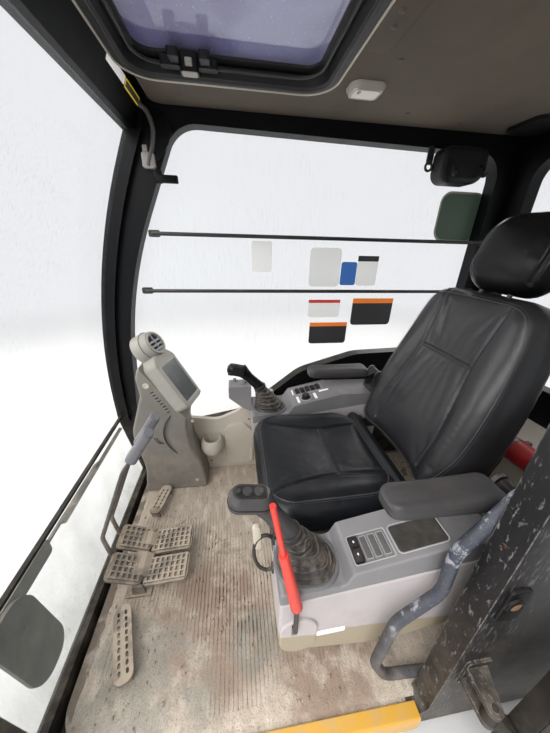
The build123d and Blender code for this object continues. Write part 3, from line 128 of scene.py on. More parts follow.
class Finish:
    """A material, with a Principled shader that its sockets feed."""

    def __init__(self, name, **constants):
        self.material = bpy.data.materials.new(name)
        self.material.use_nodes = True
        self.tree = self.material.node_tree
        self.shader = self.tree.nodes["Principled BSDF"]
        self.set(**constants)

    def node(self, kind, settings=None, sockets=None, out=0):
        made = self.tree.nodes.new(kind)
        for key, value in (settings or {}).items():
            setattr(made, key, value)
        for key, value in (sockets or {}).items():
            if isinstance(value, Tap):
                self.tree.links.new(value.socket, made.inputs[key])
            else:
                made.inputs[key].default_value = value
        return Tap(self, made.outputs[out])

    def set(self, **values):
        for key, value in values.items():
            socket = self.shader.inputs[key.replace("_", " ").title().replace("Ior", "IOR")]
            if isinstance(value, Tap):
                self.tree.links.new(value.socket, socket)
            elif isinstance(value, tuple):
                socket.default_value = (*value, 1.0)
            else:
                socket.default_value = value
        return self

    def place(self, stretch=(1, 1, 1)):
        """The part's own coordinates, in metres, stretched."""
        spot = self.node("ShaderNodeTexCoord", out=3)
        return self.node("ShaderNodeMapping", {}, {"Vector": spot, "Scale": stretch})

    def up(self):
        """1 where the surface faces up, 0 at upright walls, below 0 underneath."""
        normal = self.node("ShaderNodeTexCoord", out=1)
        return self.node("ShaderNodeSeparateXYZ", {}, {0: normal}, out=2)

    def axis(self, index):
        """One of the part's coordinates, x, y or z, in metres."""
        spot = self.node("ShaderNodeTexCoord", out=3)
        return self.node("ShaderNodeSeparateXYZ", {}, {0: spot}, out=index)

    def noise(self, size, detail=3.0, stretch=(1, 1, 1), rough=0.55, warp=0.0):
        """Cloudy noise whose patches are about size metres across."""
        sockets = {"Vector": self.place(stretch), "Scale": 1 / size, "Detail": detail, "Roughness": rough,
                   "Distortion": warp}
        return self.node("ShaderNodeTexNoise", {}, sockets)

    def cells(self, size, feature="F1", stretch=(1, 1, 1)):
        """Distance to scattered points about size metres apart."""
        sockets = {"Vector": self.place(stretch), "Scale": 1 / size}
        return self.node("ShaderNodeTexVoronoi", {"feature": feature}, sockets)

    def mix(self, first, second, share):
        """Colour between two colours."""
        sockets = {0: share}
        for index, colour in ((6, first), (7, second)):
            sockets[index] = colour if isinstance(colour, Tap) else (*colour, 1.0)
        return self.node("ShaderNodeMix", {"data_type": "RGBA"}, sockets, out=2)

    def rounded(self, radius):
        """The surface's normal with its edges rounded off."""
        return self.node("ShaderNodeBevel", {"samples": 4}, {"Radius": radius})

    def edges(self, radius):
        """1 near the part's edges, 0 on its faces."""
        flat = self.node("ShaderNodeNewGeometry", {}, {}, out=1)
        sockets = {0: self.rounded(radius), 1: flat}
        alike = self.node("ShaderNodeVectorMath", {"operation": "DOT_PRODUCT"}, sockets, out=1)
        return (1 - alike).ramp(0.002, 0.09)

    def relief(self, height, depth, normal=None):
        """Bump from a height map, in metres."""
        sockets = {"Height": height, "Distance": depth, "Strength": 1.0}
        if normal:
            sockets["Normal"] = normal
        return self.set(normal=self.node("ShaderNodeBump", {}, sockets))


# %% [markdown]
# ## Dirt and wear
# The cab has worked for years on dry ground, so every finish shares two things: pale tan dust that settles
# on what faces up and near the floor, and paint or skin that is worn on its edges. A finish gives its own
# colours and says how much of each it has.
# %% Shared wear
DUST = (0.47, 0.39, 0.30)
LOW_DUST = (0.10, 0.62)          # heights between which the dust near the floor fades out
finishes = {}


def worn(name, colour, second=None, rough=0.5, dust=0.4, low_dust=0.5, grain=0.0015, grain_depth=0.0002,
         edge=None, edge_share=0.5, bevel=0.0016, mottle=0.12, paint=None, **constants):
    """Keeps a finish with cloudy colour, grain, dust and worn edges (a painted highlight on the bellows).
    paint colours parts of it by place.
    """
    finish = Finish(name, **constants)
    cloud = finish.noise(0.21, 4)
    second = second or tuple(channel * (1 - mottle) for channel in colour)
    base = finish.mix(second, colour, cloud.ramp(0.35, 0.65))
    if edge:
        # Pale edges: wear, and on the bellows a painted highlight on the fold ridges.
        edge_wear_and_highlight = finish.edges(bevel * 2) * finish.noise(0.012, 3).ramp(0.35, 0.6) * edge_share
        base = finish.mix(base, edge, edge_wear_and_highlight)
    if paint:
        base = paint(finish, base)
    low = 1 - finish.axis(2).ramp(*LOW_DUST)
    settle = finish.up().ramp(0.1, 0.9) * dust + low * low_dust
    patches = finish.noise(0.07, 6, rough=0.68).ramp(0.38, 0.72)
    film = (settle * (patches * 0.8 + 0.25)).clamp()
    base = finish.mix(base, DUST, film)
    fine = finish.noise(grain, 2)
    roughness = film * (0.9 - rough) + finish.noise(0.03, 4) * 0.12 + (rough - 0.06)
    finish.set(base_color=base, roughness=roughness.clamp())
    finish.relief(fine + film * 0.6, grain_depth, finish.rounded(bevel))
    finishes[name] = finish


worn("frame_black", (0.004, 0.0045, 0.0055), rough=0.42, dust=0.10, low_dust=0.16,
     edge=(0.07, 0.067, 0.064), edge_share=0.4, mottle=0.3, specular_ior_level=0.16)
worn("shell_yellow", (0.83, 0.43, 0.022), rough=0.34, dust=0.28, low_dust=0.15, edge=(0.30, 0.20, 0.10),
     edge_share=0.6, mottle=0.05, coat_weight=0.3)
worn("plastic_beige", (0.58, 0.535, 0.455), rough=0.55, dust=0.3, low_dust=0.30)
worn("plastic_dark", (0.235, 0.23, 0.235), second=(0.19, 0.185, 0.19), rough=0.45, dust=0.10,
     low_dust=0.15, edge=(0.42, 0.41, 0.41), edge_share=0.6)
worn("plastic_black", (0.011, 0.011, 0.012), rough=0.45, dust=0.08, low_dust=0.3, specular_ior_level=0.25)
worn("vinyl", (0.0070, 0.0085, 0.0115), rough=0.34, dust=0.02, low_dust=0.0, grain=0.0011,
     grain_depth=0.00012, specular_ior_level=0.34)
# The backrest's vinyl is the cushion's vinyl with a lighter base colour: painted sheen, with a little more
# dust.
worn("vinyl_back_painted_sheen", (0.019, 0.0187, 0.0205), rough=0.36, dust=0.03, low_dust=0.0, grain=0.0011,
     grain_depth=0.00012, specular_ior_level=0.5)
worn("vinyl_edge", (0.034, 0.036, 0.042), rough=0.36, dust=0.1, low_dust=0.0, bevel=0.0004)
worn("vinyl_dark", (0.0045, 0.0045, 0.005), rough=0.33, dust=0.01, low_dust=0.0, grain=0.0011,
     grain_depth=0.00012, specular_ior_level=0.24)
worn("armrest", (0.046, 0.044, 0.045), rough=0.5, dust=0.05, low_dust=0.0)
worn("thread", (0.07, 0.075, 0.085), rough=0.7, dust=0.1, low_dust=0.0, bevel=0.0002)
worn("rubber_black", (0.016, 0.016, 0.016), rough=0.55, dust=0.15, low_dust=0.35)
worn("lever_grey", (0.17, 0.172, 0.185), rough=0.45, dust=0.12, low_dust=0.2)
worn("screen", (0.03, 0.036, 0.042), rough=0.14, dust=0.15, low_dust=0.0, bevel=0.0005)
worn("steel_dark", (0.026, 0.026, 0.028), rough=0.45, dust=0.3, low_dust=0.6, edge=(0.22, 0.2, 0.18))
worn("pedal_steel", (0.075, 0.070, 0.066), rough=0.7, dust=1.1, low_dust=0.75, edge=(0.30, 0.27, 0.24),
     grain=0.004, grain_depth=0.0006)
worn("lamp", (0.72, 0.70, 0.64), rough=0.25, dust=0.0, low_dust=0.0)

# %% [markdown]
# Some finishes change with the place on the part: the lock lever is black below its grip, the console's
# housing has a tan tide of dirt along its lower edge, the mat's grooves are darker than its ribs, and hands
# and boots have rubbed the grab rail pale.
# %% Finishes with a place
GRIP_END = (0.4965, 0.4975)
TIDE_LINE = (0.318, 0.324)
GROOVES = (0.0768, 0.0797)
SILL_EDGE = (0.420, 0.436)


def lever_paint(finish, base):
    """Black rod under the red grip."""
    return finish.mix((0.014, 0.014, 0.015), base, finish.axis(2).ramp(*GRIP_END))


def patch(finish, x, y, size):
    """1 at a spot of the floor plan, fading to 0 at size metres from it, with a ragged edge."""
    across, along = finish.axis(0) - x, finish.axis(1) - y
    near = (across * across + along * along).ramp(size * size, 0.0)
    return (near * 1.6 * finish.noise(size * 0.35, 6, rough=0.65).ramp(0.30, 0.62)).clamp()


def tide_paint(finish, base):
    """Tan dirt along the lower edge, with a ragged upper line."""
    ragged = finish.noise(0.02, 5) * 0.012 + finish.noise(0.16, 2) * 0.02 + finish.axis(1) * -0.10
    line = 1 - (finish.axis(2) - ragged).ramp(*TIDE_LINE)
    scuffs = finish.noise(0.006, 2, (1, 9, 9)).ramp(0.62, 0.72) * 0.25
    smear = finish.noise(0.11, 5, rough=0.6).ramp(0.52, 0.75) * 0.28
    base = finish.mix(finish.mix(base, (0.36, 0.31, 0.26), smear), (0.20, 0.18, 0.16), scuffs)
    return finish.mix(base, (0.36, 0.30, 0.20), line * 0.9)


def floor_paint(finish, base, groove_share=0.75):
    """Grooves filled with dark earth, grit, and the stains of red, grey and pale earth where boots turn."""
    grit = finish.noise(0.0042, 3, rough=0.7)
    pale = finish.noise(0.035, 5, (0.5, 1.6, 1)).ramp(0.46, 0.70) * 0.7
    base = finish.mix(base, (0.76, 0.67, 0.56), pale)
    red = patch(finish, 0.24, -0.42, 0.24) + patch(finish, 0.36, -0.10, 0.2)
    base = finish.mix(base, (0.30, 0.20, 0.145), red.clamp() * 0.75)
    grey = patch(finish, 0.30, -0.29, 0.11) + patch(finish, 0.40, -0.62, 0.26)
    base = finish.mix(base, (0.30, 0.29, 0.245), grey.clamp() * 0.7)
    stain = finish.noise(0.11, 6, rough=0.66, warp=0.5).ramp(0.54, 0.70) * 0.55
    base = finish.mix(base, (0.24, 0.185, 0.14), stain)
    base = finish.mix(base, (0.20, 0.155, 0.12), grit.ramp(0.50, 0.34) * 0.5)
    groove = (1 - finish.axis(2).ramp(*GROOVES)) * (1 - finish.noise(0.06, 5).ramp(0.48, 0.66))
    groove = groove * (1 - finish.axis(0).ramp(*SILL_EDGE))
    return finish.mix(base, (0.13, 0.10, 0.075), groove * groove_share)


def earth_paint(finish, base):
    """The same stains on the earth that lies over the ribs."""
    return floor_paint(finish, base, 0.0)


def scuff_paint(finish, base):
    """Pale rubbed patches and lengthwise scratches."""
    patches = finish.noise(0.045, 5, rough=0.7).ramp(0.54, 0.62) * finish.axis(2).ramp(0.30, 0.42)
    scratch = finish.noise(0.004, 2, (4, 0.6, 0.6)).ramp(0.64, 0.70)
    return finish.mix(base, (0.40, 0.41, 0.45), (patches * 0.75 + scratch * 0.3).clamp())


def fold_paint(finish, base):
    """Brown dust that sits on the bellows' folds."""
    shelf = finish.up().ramp(0.0, 0.9) * finish.noise(0.02, 5).ramp(0.35, 0.7)
    return finish.mix(base, (0.16, 0.13, 0.105), shelf * 0.7)


def post_paint(finish, base):
    """Scratches down to grey metal and a few rusty nicks, on the rear post below shoulder height."""
    behind = finish.axis(1).ramp(0.05, 0.14) * (1 - finish.axis(1).ramp(0.20, 0.30))
    zone = behind * (1 - finish.axis(2).ramp(0.7, 1.1))
    scratch = finish.noise(0.012, 4, (1, 2.4, 0.35), rough=0.7).ramp(0.56, 0.66)
    base = finish.mix(base, (0.24, 0.23, 0.23), scratch * zone * 0.7)
    nicks = finish.noise(0.05, 6, rough=0.75).ramp(0.66, 0.70)
    return finish.mix(base, (0.19, 0.085, 0.035), nicks * zone * 0.8)


def lining_paint(finish, base):
    """Darker towards the hatch, where hands have soiled it, with faint stains."""
    soiled = 1 - finish.axis(1).ramp(-0.10, 0.34)
    stain = finish.noise(0.16, 5, rough=0.6).ramp(0.52, 0.72) * 0.3
    return finish.mix(base, (0.060, 0.046, 0.036), (soiled * 0.62 + stain).clamp())


worn("lining", (0.128, 0.105, 0.080), rough=0.85, dust=0.1, low_dust=0, grain=0.0022, grain_depth=0.0006,
     paint=lining_paint)
worn("lever_red", (0.78, 0.045, 0.028), rough=0.36, dust=0.05, low_dust=0.1, paint=lever_paint)
worn("plastic_grey", (0.52, 0.475, 0.475), rough=0.5, dust=0.08, low_dust=0.05, paint=tide_paint)
worn("mat", (0.60, 0.505, 0.405), second=(0.47, 0.40, 0.325), rough=0.92, dust=0.0, low_dust=0.0,
     grain=0.003, grain_depth=0.0011, paint=floor_paint)
worn("earth", (0.62, 0.525, 0.42), second=(0.50, 0.42, 0.335), rough=0.95, dust=0.0, low_dust=0.0,
     grain=0.0045, grain_depth=0.0016, paint=earth_paint)
worn("rail_blue", (0.040, 0.047, 0.066), rough=0.38, dust=0.12, low_dust=0.3, paint=scuff_paint)
# The bellows' pale edge colour is a painted highlight on the ridges of the folds.
worn("bellows", (0.017, 0.016, 0.0155), rough=0.6, dust=0.05, low_dust=0.0, bevel=0.0015,
     edge=(0.13, 0.115, 0.10), edge_share=0.7, grain=0.016, grain_depth=0.004, paint=fold_paint)
worn("boot_roll", (0.030, 0.027, 0.025), rough=0.55, dust=0.35, low_dust=0.0, bevel=0.0006,
     paint=fold_paint)
# The left joystick's grip is lighter than the right's: partly dust, partly painted sheen.
worn("grip", (0.042, 0.041, 0.044), rough=0.5, dust=0.12, low_dust=0.0)
worn("monitor_shell", (0.37, 0.355, 0.31), second=(0.31, 0.30, 0.265), rough=0.55, dust=0.25,
     low_dust=0.5)
worn("column_shell", (0.22, 0.21, 0.185), second=(0.17, 0.162, 0.145), rough=0.6, dust=0.3, low_dust=0.45)
worn("door_post", (0.0075, 0.0075, 0.0085), rough=0.42, dust=0.25, low_dust=0.22, edge=(0.30, 0.28, 0.26),
     edge_share=0.8, mottle=0.3, paint=post_paint)


def pane(name, colour, opacity, dusty, low_dust=0.0, scratch=0.0):
    """Keeps a glass that lets light through by its alpha, with dust, dried rain and a dusty tide low down."""
    finish = Finish(name, ior=1.5)
    specks = finish.cells(0.013).ramp(0.26, 0.16) * finish.noise(0.05, 3).ramp(0.5, 0.7)
    runs = finish.noise(0.012, 5, (3.0, 3.0, 0.22), rough=0.65).ramp(0.52, 0.78)
    film = finish.noise(0.30, 5, rough=0.6).ramp(0.35, 0.8)
    veil = (specks * 0.35 + runs * (film * 0.8 + 0.2)) * dusty
    if low_dust:
        cloud = finish.noise(0.14, 6, (1, 1, 0.6), rough=0.5).ramp(0.30, 0.85)
        veil = veil + (1 - finish.axis(2).ramp(0.14, 0.62)) * (cloud * 0.7 + 0.3) * low_dust
    tint = finish.mix(colour, DUST, veil.clamp())
    if scratch:
        scratches = finish.noise(0.006, 2, (0.5, 4.0, 1), warp=0.3).ramp(0.66, 0.74) * scratch
        tint = finish.mix(tint, (0.75, 0.74, 0.85), scratches.clamp())
        tint = finish.mix(tint, (0.50, 0.52, 0.72), finish.noise(0.35, 3).ramp(0.45, 0.6) * 0.35)
        veil = veil + scratches * 0.3
    finish.set(base_color=tint, roughness=(veil * 0.5 + 0.03).clamp(), alpha=(veil + opacity).clamp())
    finish.material.surface_render_method = "BLENDED"
    finishes[name] = finish


pane("glass_clear", (0.50, 0.57, 0.55), opacity=0.09, dusty=0.16)
pane("glass_front", (0.50, 0.57, 0.55), opacity=0.10, dusty=0.18, low_dust=0.27)
pane("glass_hatch", (0.19, 0.185, 0.36), opacity=0.72, dusty=0.14, scratch=0.6)

# %% [markdown]
# ## Finishes on the frame
# The record gives every part a slot, and most parts take the finish of that name. A few differ from the
# others in their slot, as the pedals that boots have scraped do, so they are listed with a finish of their
# own.
# %% Finishes on the frame
OWN_FINISH = {
    "lever_boots": "bellows", "monitor_column": "column_shell", "monitor_head": "monitor_shell",
    "left_side_frame": "door_post", "windshield_panes": "glass_front", "left_joystick": "grip",
    "right_joystick": "vinyl_dark",
}
for scraped in ("left_travel_pedal", "right_travel_pedal", "footrest_plates", "pedal_bracket"):
    OWN_FINISH[scraped] = "pedal_steel"
for entry in frame["record"]["subparts"]:
    node = nodes[entry["node"]]
    node.data.materials.clear()
    finish = OWN_FINISH.get(entry["node"], entry["material_slot"])
    node.data.materials.append(finishes[finish].material)
print("parts with a finish of their own:", len(OWN_FINISH))

# %% [markdown]
# ## Drawing on planes
# Most pieces are drawn flat, as a designer would, and then put where they belong. A plane here is a 4x4
# matrix: its columns say which way is across, up and out, and where the drawing's own zero is.
# %% Planes and lines


def plane(origin, across, out):
    """A drawing plane at origin, that faces out, with its x towards across."""
    out = Vector(out).normalized()
    across = Vector(across)
    across = (across - out * across.dot(out)).normalized()
    placed = Matrix((across, out.cross(across), out)).transposed().to_4x4()
    placed.translation = origin
    return placed


def top_plane(x, y, z):
    """A plane that faces up."""
    return plane((x, y, z), (1, 0, 0), (0, 0, 1))


def ceiling_plane(x, y, z):
    """A plane that faces down."""
    return plane((x, y, z), (1, 0, 0), (0, 0, -1))


def side_plane(x, y=0, z=0):
    """A plane that faces the door's side. Its x runs to the rear and its y up."""
    return plane((x, y, z), (0, 1, 0), (1, 0, 0))


def moved(where, x, y, z=0):
    """A plane shifted along its own directions."""
    return where @ Matrix.Translation((x, y, z))


def tipped(where, angle):
    """A plane turned about its own y."""
    return where @ Matrix.Rotation(angle, 4, "Y")


def smooth_line(points, step=0.004, closed=False):
    """A curve through the points, in equal steps."""
    points = [Vector(p) for p in points]
    if closed:
        ends = [points[-1], *points, points[0], points[1]]
    else:
        ends = [points[0] * 2 - points[1], *points, points[-1] * 2 - points[-2]]
    fine = []
    for before, start, end, after in zip(ends, ends[1:], ends[2:], ends[3:]):
        for share in np.linspace(0, 1, 12, endpoint=False):
            slope = (end - before) * 0.5 * share + start
            curve = (before * 2 - start * 5 + end * 4 - after) * 0.5 * share ** 2
            fine.append(slope + curve + (start * 3 - before - end * 3 + after) * 0.5 * share ** 3)
    fine.append(ends[-2])
    lengths = np.cumsum([0] + [(b - a).length for a, b in zip(fine, fine[1:])])
    count = max(2, round(lengths[-1] / step))
    spots = np.array([list(p) for p in fine])
    wanted = np.linspace(0, lengths[-1], count + 1)
    columns = [np.interp(wanted, lengths, column) for column in spots.T]
    return [Vector(p) for p in zip(*columns)][:count + (not closed)]


def rounded(width, length, radius, steps=5):
    """Outline of a rectangle with round corners."""
    turns = np.linspace(0, math.pi / 2, steps + 1)
    spots = []
    for quarter, (side, end) in enumerate(((1, 1), (-1, 1), (-1, -1), (1, -1))):
        middle = (side * (width / 2 - radius), end * (length / 2 - radius))
        for angle in turns + quarter * math.pi / 2:
            spots.append((middle[0] + radius * math.cos(angle), middle[1] + radius * math.sin(angle)))
    return spots


def circle(radius, sides=24):
    """Outline of a circle."""
    return [(radius * math.cos(a), radius * math.sin(a)) for a in np.arange(sides) * math.tau / sides]


# %% [markdown]
# ## Skins from rings
# A tube, a button, a plate with soft edges and a cushion are all the same thing to a mesh: rings of points,
# joined by faces. One small class gathers such skins, so that many screws or stitches become one piece.
# %% Shapes


def on_plane(where, outline, height=0.0):
    """A flat outline's points, at a height over a plane."""
    return [where @ Vector((x, y, height)) for x, y in outline]


class Shape:
    """Points and faces gathered for one piece."""

    def __init__(self):
        self.points = []
        self.faces = []

    def loft(self, rings, ends=True):
        """Joins rings of equally many points, and closes both ends."""
        first, count = len(self.points), len(rings[0])
        for ring in rings:
            self.points.extend(Vector(p) for p in ring)
        for row in range(len(rings) - 1):
            for spot in range(count):
                a, b = first + row * count + spot, first + row * count + (spot + 1) % count
                self.faces.append((a, b, b + count, a + count))
        if ends:
            last = first + (len(rings) - 1) * count
            self.faces.append(tuple(range(first + count - 1, first - 1, -1)))
            self.faces.append(tuple(range(last, last + count)))
        return self

    def tube(self, path, radius, sides=10):
        """Round bar along a path. A list of radii makes it swell and taper."""
        path = [Vector(p) for p in path]
        radii = radius if isinstance(radius, (list, tuple)) else [radius] * len(path)
        side = (path[1] - path[0]).orthogonal().normalized()
        rings = []
        for index, spot in enumerate(path):
            along = (path[min(index + 1, len(path) - 1)] - path[max(index - 1, 0)]).normalized()
            side = (side - along * side.dot(along)).normalized()
            other = along.cross(side)
            rings.append([spot + (side * math.cos(a) + other * math.sin(a)) * radii[index]
                          for a in np.arange(sides) * math.tau / sides])
        return self.loft(rings)

    def turned(self, where, profile, sides=24):
        """Profile of (radius, height) spun about a plane's normal."""
        return self.loft([on_plane(where, circle(radius, sides), height) for radius, height in profile])

    def frame(self, where, size, radius, profile, steps=5):
        """Moulding round an opening of a size (width, length). Its profile is a list of (growth, height)."""
        rings = []
        for growth, height in profile:
            outline = rounded(size[0] + growth, size[1] + growth, radius + growth / 2, steps)
            rings.append(on_plane(where, outline, height))
        return self.loft(rings, ends=False)

    def rim(self, where, outline, radius, lift=0.0, sides=8):
        """Raised bead round a drawn outline."""
        return self.tube(on_plane(where, [*outline, *outline[:2]], lift), radius, sides)

    def screws(self, places, radius=0.005, height=0.003):
        """Domed heads with a hexagon socket, one at each plane."""
        for where in places:
            self.turned(where, [(radius * 1.25, 0), (radius * 1.25, height * 0.25), (radius, height * 0.4),
                                (radius * 0.92, height * 0.85), (radius * 0.7, height)], 16)
            self.turned(where, [(radius * 0.45, height * 1.02), (radius * 0.40, height * 0.5)], 6)

    def slab(self, where, outline, low, high, edge=0.0015):
        """Plate between two heights over a plane, its upper edge rounded."""
        corners = [Vector((*spot, 0)) for spot in outline]
        inward = []
        for before, here, after in zip(corners[-1:] + corners, corners, corners[1:] + corners[:1]):
            along = (after - before).normalized()
            inward.append(Vector((-along.y, along.x, 0)))
        rings = []
        for height, inset in ((low, 0), (high - edge, 0), (high - edge * 0.3, edge * 0.3), (high, edge)):
            rings.append([where @ (spot + side * inset + Vector((0, 0, height)))
                          for spot, side in zip(corners, inward)])
        return self.loft(rings)

    def piece(self, name, finish, body, slot=None, smooth=True):
        """The finished piece, riding on its body."""
        mesh = bpy.data.meshes.new(name)
        mesh.from_pydata([tuple(p) for p in self.points], [], self.faces)
        bulk = bmesh.new()
        bulk.from_mesh(mesh)
        bmesh.ops.recalc_face_normals(bulk, faces=bulk.faces)
        bulk.to_mesh(mesh)
        bulk.free()
        if smooth:
            mesh.shade_smooth()
            mesh.set_sharp_from_angle(angle=math.radians(38))
        mesh.materials.append(finishes[finish].material)
        made = bpy.data.objects.new(name, mesh)
        scene.collection.objects.link(made)
        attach(made, body)
        return made


# %% [markdown]
# ## Upholstery
# The seat's covers are vinyl over foam, sewn from panels. Each pad starts as a drawn outline with a height
# for its front and back skin. It is remeshed evenly and blown up a little as cloth, with its seams and its
# back held, so that the panels swell between them. The sewing comes last, because a remesh would rub it out.
# %% Stuffed pads
RING_SHARES = (0.02, 0.15, 0.3, 0.45, 0.6, 0.7, 0.78, 0.85, 0.9, 0.94, 0.97, 0.99, 1.0)
CLOTH_FRAMES = 20
FAR_AWAY = 9.0
HELD_WITHIN = 0.02


def pad_shape(where, outline, front, back, edge, back_edge=0.012):
    """Closed skin between a front and a back height, over an outline drawn round the plane's zero."""
    drawn = [Vector((*spot, 0)) for spot in outline]
    middle = sum(drawn, Vector()) / len(drawn)
    rings = []
    for skin, fall in ((front, edge), (back, -back_edge)):
        stack = []
        for share in RING_SHARES:
            ring = []
            for spot in drawn:
                reach = (spot - middle).length
                near = min(1, max(0, (share * reach - reach + abs(fall)) / abs(fall)))
                here = middle + (spot - middle) * share
                here.z = skin(here.x, here.y) - fall * (1 - math.sqrt(1 - near * near))
                ring.append(where @ here)
            stack.append(ring)
        rings += stack if skin is front else reversed(stack)
    return Shape().loft(rings)


def distance_to(lines, spots):
    """How far each flat spot is from the nearest of the lines, as an array."""
    nearest = np.full(len(spots), FAR_AWAY)
    for line in lines:
        drawn = np.array([p[:2] for p in line])
        for start, end in zip(drawn, drawn[1:]):
            along = end - start
            share = np.clip(((spots - start) @ along) / (along @ along), 0, 1)
            nearest = np.minimum(nearest, np.linalg.norm(spots - start - share[:, None] * along, axis=1))
    return nearest


def points_of(mesh):
    """A mesh's points as an array."""
    flat = np.empty(len(mesh.vertices) * 3)
    mesh.vertices.foreach_get("co", flat)
    return flat.reshape(-1, 3)


def baked(piece):
    """Applies a piece's modifiers to its mesh."""
    result = bpy.data.meshes.new_from_object(piece.evaluated_get(bpy.context.evaluated_depsgraph_get()))
    piece.modifiers.clear()
    piece.data = result
    return result


def stuff(piece, where, seams, voxel, swell, hold_below):
    """Even mesh, blown up as cloth. Its seams hold, as does what lies below a height over its plane."""
    remesh = piece.modifiers.new("even", "REMESH")
    remesh.mode = "VOXEL"
    remesh.voxel_size = voxel
    mesh = baked(piece)
    start = points_of(mesh)
    turned_back = np.array(where.inverted())
    local = start @ turned_back[:3, :3].T + turned_back[:3, 3]
    from_seam = np.clip(distance_to(seams, local[:, :2]) / HELD_WITHIN, 0, 1)
    free = from_seam * np.clip((local[:, 2] - hold_below) / HELD_WITHIN, 0, 1)
    held = piece.vertex_groups.new(name="held")
    for index in np.flatnonzero(free < 0.25):
        held.add([int(index)], 1.0, "REPLACE")
    cloth = piece.modifiers.new("cloth", "CLOTH")
    cloth.settings.vertex_group_mass = "held"
    cloth.settings.use_pressure = True
    cloth.settings.uniform_pressure_force = 4
    cloth.settings.effector_weights.gravity = 0
    cloth.settings.quality = 4
    for frame_number in range(1, CLOTH_FRAMES + 1):
        scene.frame_set(frame_number)
    swelling = points_of(baked(piece)) - start
    scene.frame_set(1)
    length = np.linalg.norm(swelling, axis=1)
    limit = swell * np.sqrt(free) + 1e-6
    swelling *= (limit * np.tanh(length / limit) / np.maximum(length, 1e-9))[:, None]
    piece.data.vertices.foreach_set("co", (start + swelling).ravel())
    most = np.linalg.norm(swelling, axis=1).max()
    print("%s swells by up to %.1f mm" % (piece.name, most * 1000))
    smooth = piece.modifiers.new("smooth", "SMOOTH")
    smooth.factor = 0.5
    smooth.iterations = 4
    finer = piece.modifiers.new("finer", "SUBSURF")
    finer.levels = 1
    mesh = baked(piece)
    mesh.shade_smooth()
    return mesh


def sew(piece, where, seams, depth, width, rumple=0.0):
    """Sinks the seams into the skin, with the foam rising beside them, and rumples the cover."""
    mesh = piece.data
    spots = points_of(mesh)
    normals = np.empty(len(spots) * 3)
    mesh.vertices.foreach_get("normal", normals)
    normals = normals.reshape(-1, 3)
    turned_back = np.array(where.inverted())
    local = spots @ turned_back[:3, :3].T + turned_back[:3, 3]
    facing = np.clip(normals @ np.array(where.col[2][:3]) * 2, 0, 1)
    away = distance_to(seams, local[:, :2]) / width
    sink = (np.exp(-away ** 2) - 0.35 * np.exp(-(away - 2.4) ** 2 / 1.6)) * depth * facing
    folds = np.zeros(len(spots))
    if rumple:
        for index, spot in enumerate(local):
            spot = Vector(spot)
            folds[index] = field.noise(spot * 26) + 0.5 * field.noise(spot * 61 + Vector((5, 0, 0)))
    shift = folds * rumple * (0.35 + 0.65 * np.exp(-away / 6)) - sink
    mesh.vertices.foreach_set("co", (spots + normals * shift[:, None]).ravel())
    mesh.update()


def dropped(piece, where, line, lift=0.0, step=0.004):
    """A drawn line, laid on the piece's skin."""
    skin = BVHTree.FromObject(piece, bpy.context.evaluated_depsgraph_get())
    out = where.col[2].xyz
    laid = []
    for spot in smooth_line([(*p[:2], 0) for p in line], step):
        hit = skin.ray_cast(where @ Vector((spot.x, spot.y, 0.2)), -out)[0]
        if hit:
            laid.append(hit + out * lift)
    return laid


def both_sides(half):
    """A seam drawn on one side of a pad, and its mirror image."""
    return [smooth_line([(side * x, y, 0) for x, y in half], 0.01) for side in (-1, 1)]


def stitches(shape, path, beside, out, pitch=0.0062, length=0.0044, radius=0.0005):
    """Thread that shows between two needle holes, again and again, on one side of a seam."""
    travelled = 0.0
    for start, end in zip(path, path[1:]):
        travelled += (end - start).length
        if travelled < pitch:
            continue
        travelled = 0.0
        along = (end - start).normalized()
        middle = start + along.cross(out).normalized() * beside
        half = along * length / 2
        shape.tube([middle - half - out * radius, middle - half * 0.6 + out * radius * 1.4,
                    middle + half * 0.6 + out * radius * 1.4, middle + half - out * radius], radius, 5)


# %% [markdown]
# ## The seat cushion
# Seen from the door, the cushion is a wide pad whose side bolsters rise a little. Two seams run along the
# bolsters, one crosses between them a hand's width ahead of the back, and a piped edge runs all round the
# top panel.
# %% Seat cushion
cushion_low, cushion_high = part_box("seat_cushion")
cushion_middle = (cushion_low + cushion_high) / 2
cushion_plane = top_plane(cushion_middle.x, cushion_middle.y, cushion_high.z)
cushion_size = cushion_high - cushion_low
half_wide, half_long = cushion_size.x / 2, cushion_size.y / 2
PUFF = 0.012


def cushion_top(x, y):
    """Bolsters at the sides, a dished middle and a front that rolls down."""
    bolster = 0.010 * math.exp(-((abs(x) - half_wide * 0.76) / 0.045) ** 2)
    dish = -0.008 * math.exp(-((x / 0.13) ** 2 + ((y - 0.02) / 0.15) ** 2))
    roll = -0.020 * max(0.0, (-y - half_long * 0.45) / half_long) ** 1.6
    return bolster + dish + roll - PUFF


cushion_outline = []
for x, y in rounded(2 * half_wide - 0.008, 2 * half_long - 0.008, 0.085, 12):
    rear = max(0, y / half_long)
    cushion_outline.append((x * (1 - 0.10 * rear ** 3), y + 0.010 * rear ** 2))
cushion_seams = both_sides([(0.165, -half_long + 0.035), (0.142, -0.110), (0.122, -0.020), (0.114, 0.040),
                            (0.118, 0.110), (0.124, half_long - 0.03)])
CROSS_SEAM = 0.040
cushion_seams.append([Vector((-0.114, CROSS_SEAM, 0)), Vector((0.114, CROSS_SEAM, 0))])
cushion_skin = pad_shape(cushion_plane, cushion_outline, cushion_top,
                         lambda x, y: -cushion_size.z + 0.002, edge=0.050)
cushion = cushion_skin.piece("seat_cushion_cover", "vinyl", "seat")
stuff(cushion, cushion_plane, cushion_seams, voxel=0.0065, swell=PUFF, hold_below=-0.075)
sew(cushion, cushion_plane, cushion_seams, depth=0.0026, width=0.0042, rumple=0.0011)
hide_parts("seat_cushion")
print("cushion faces:", len(cushion.data.polygons))

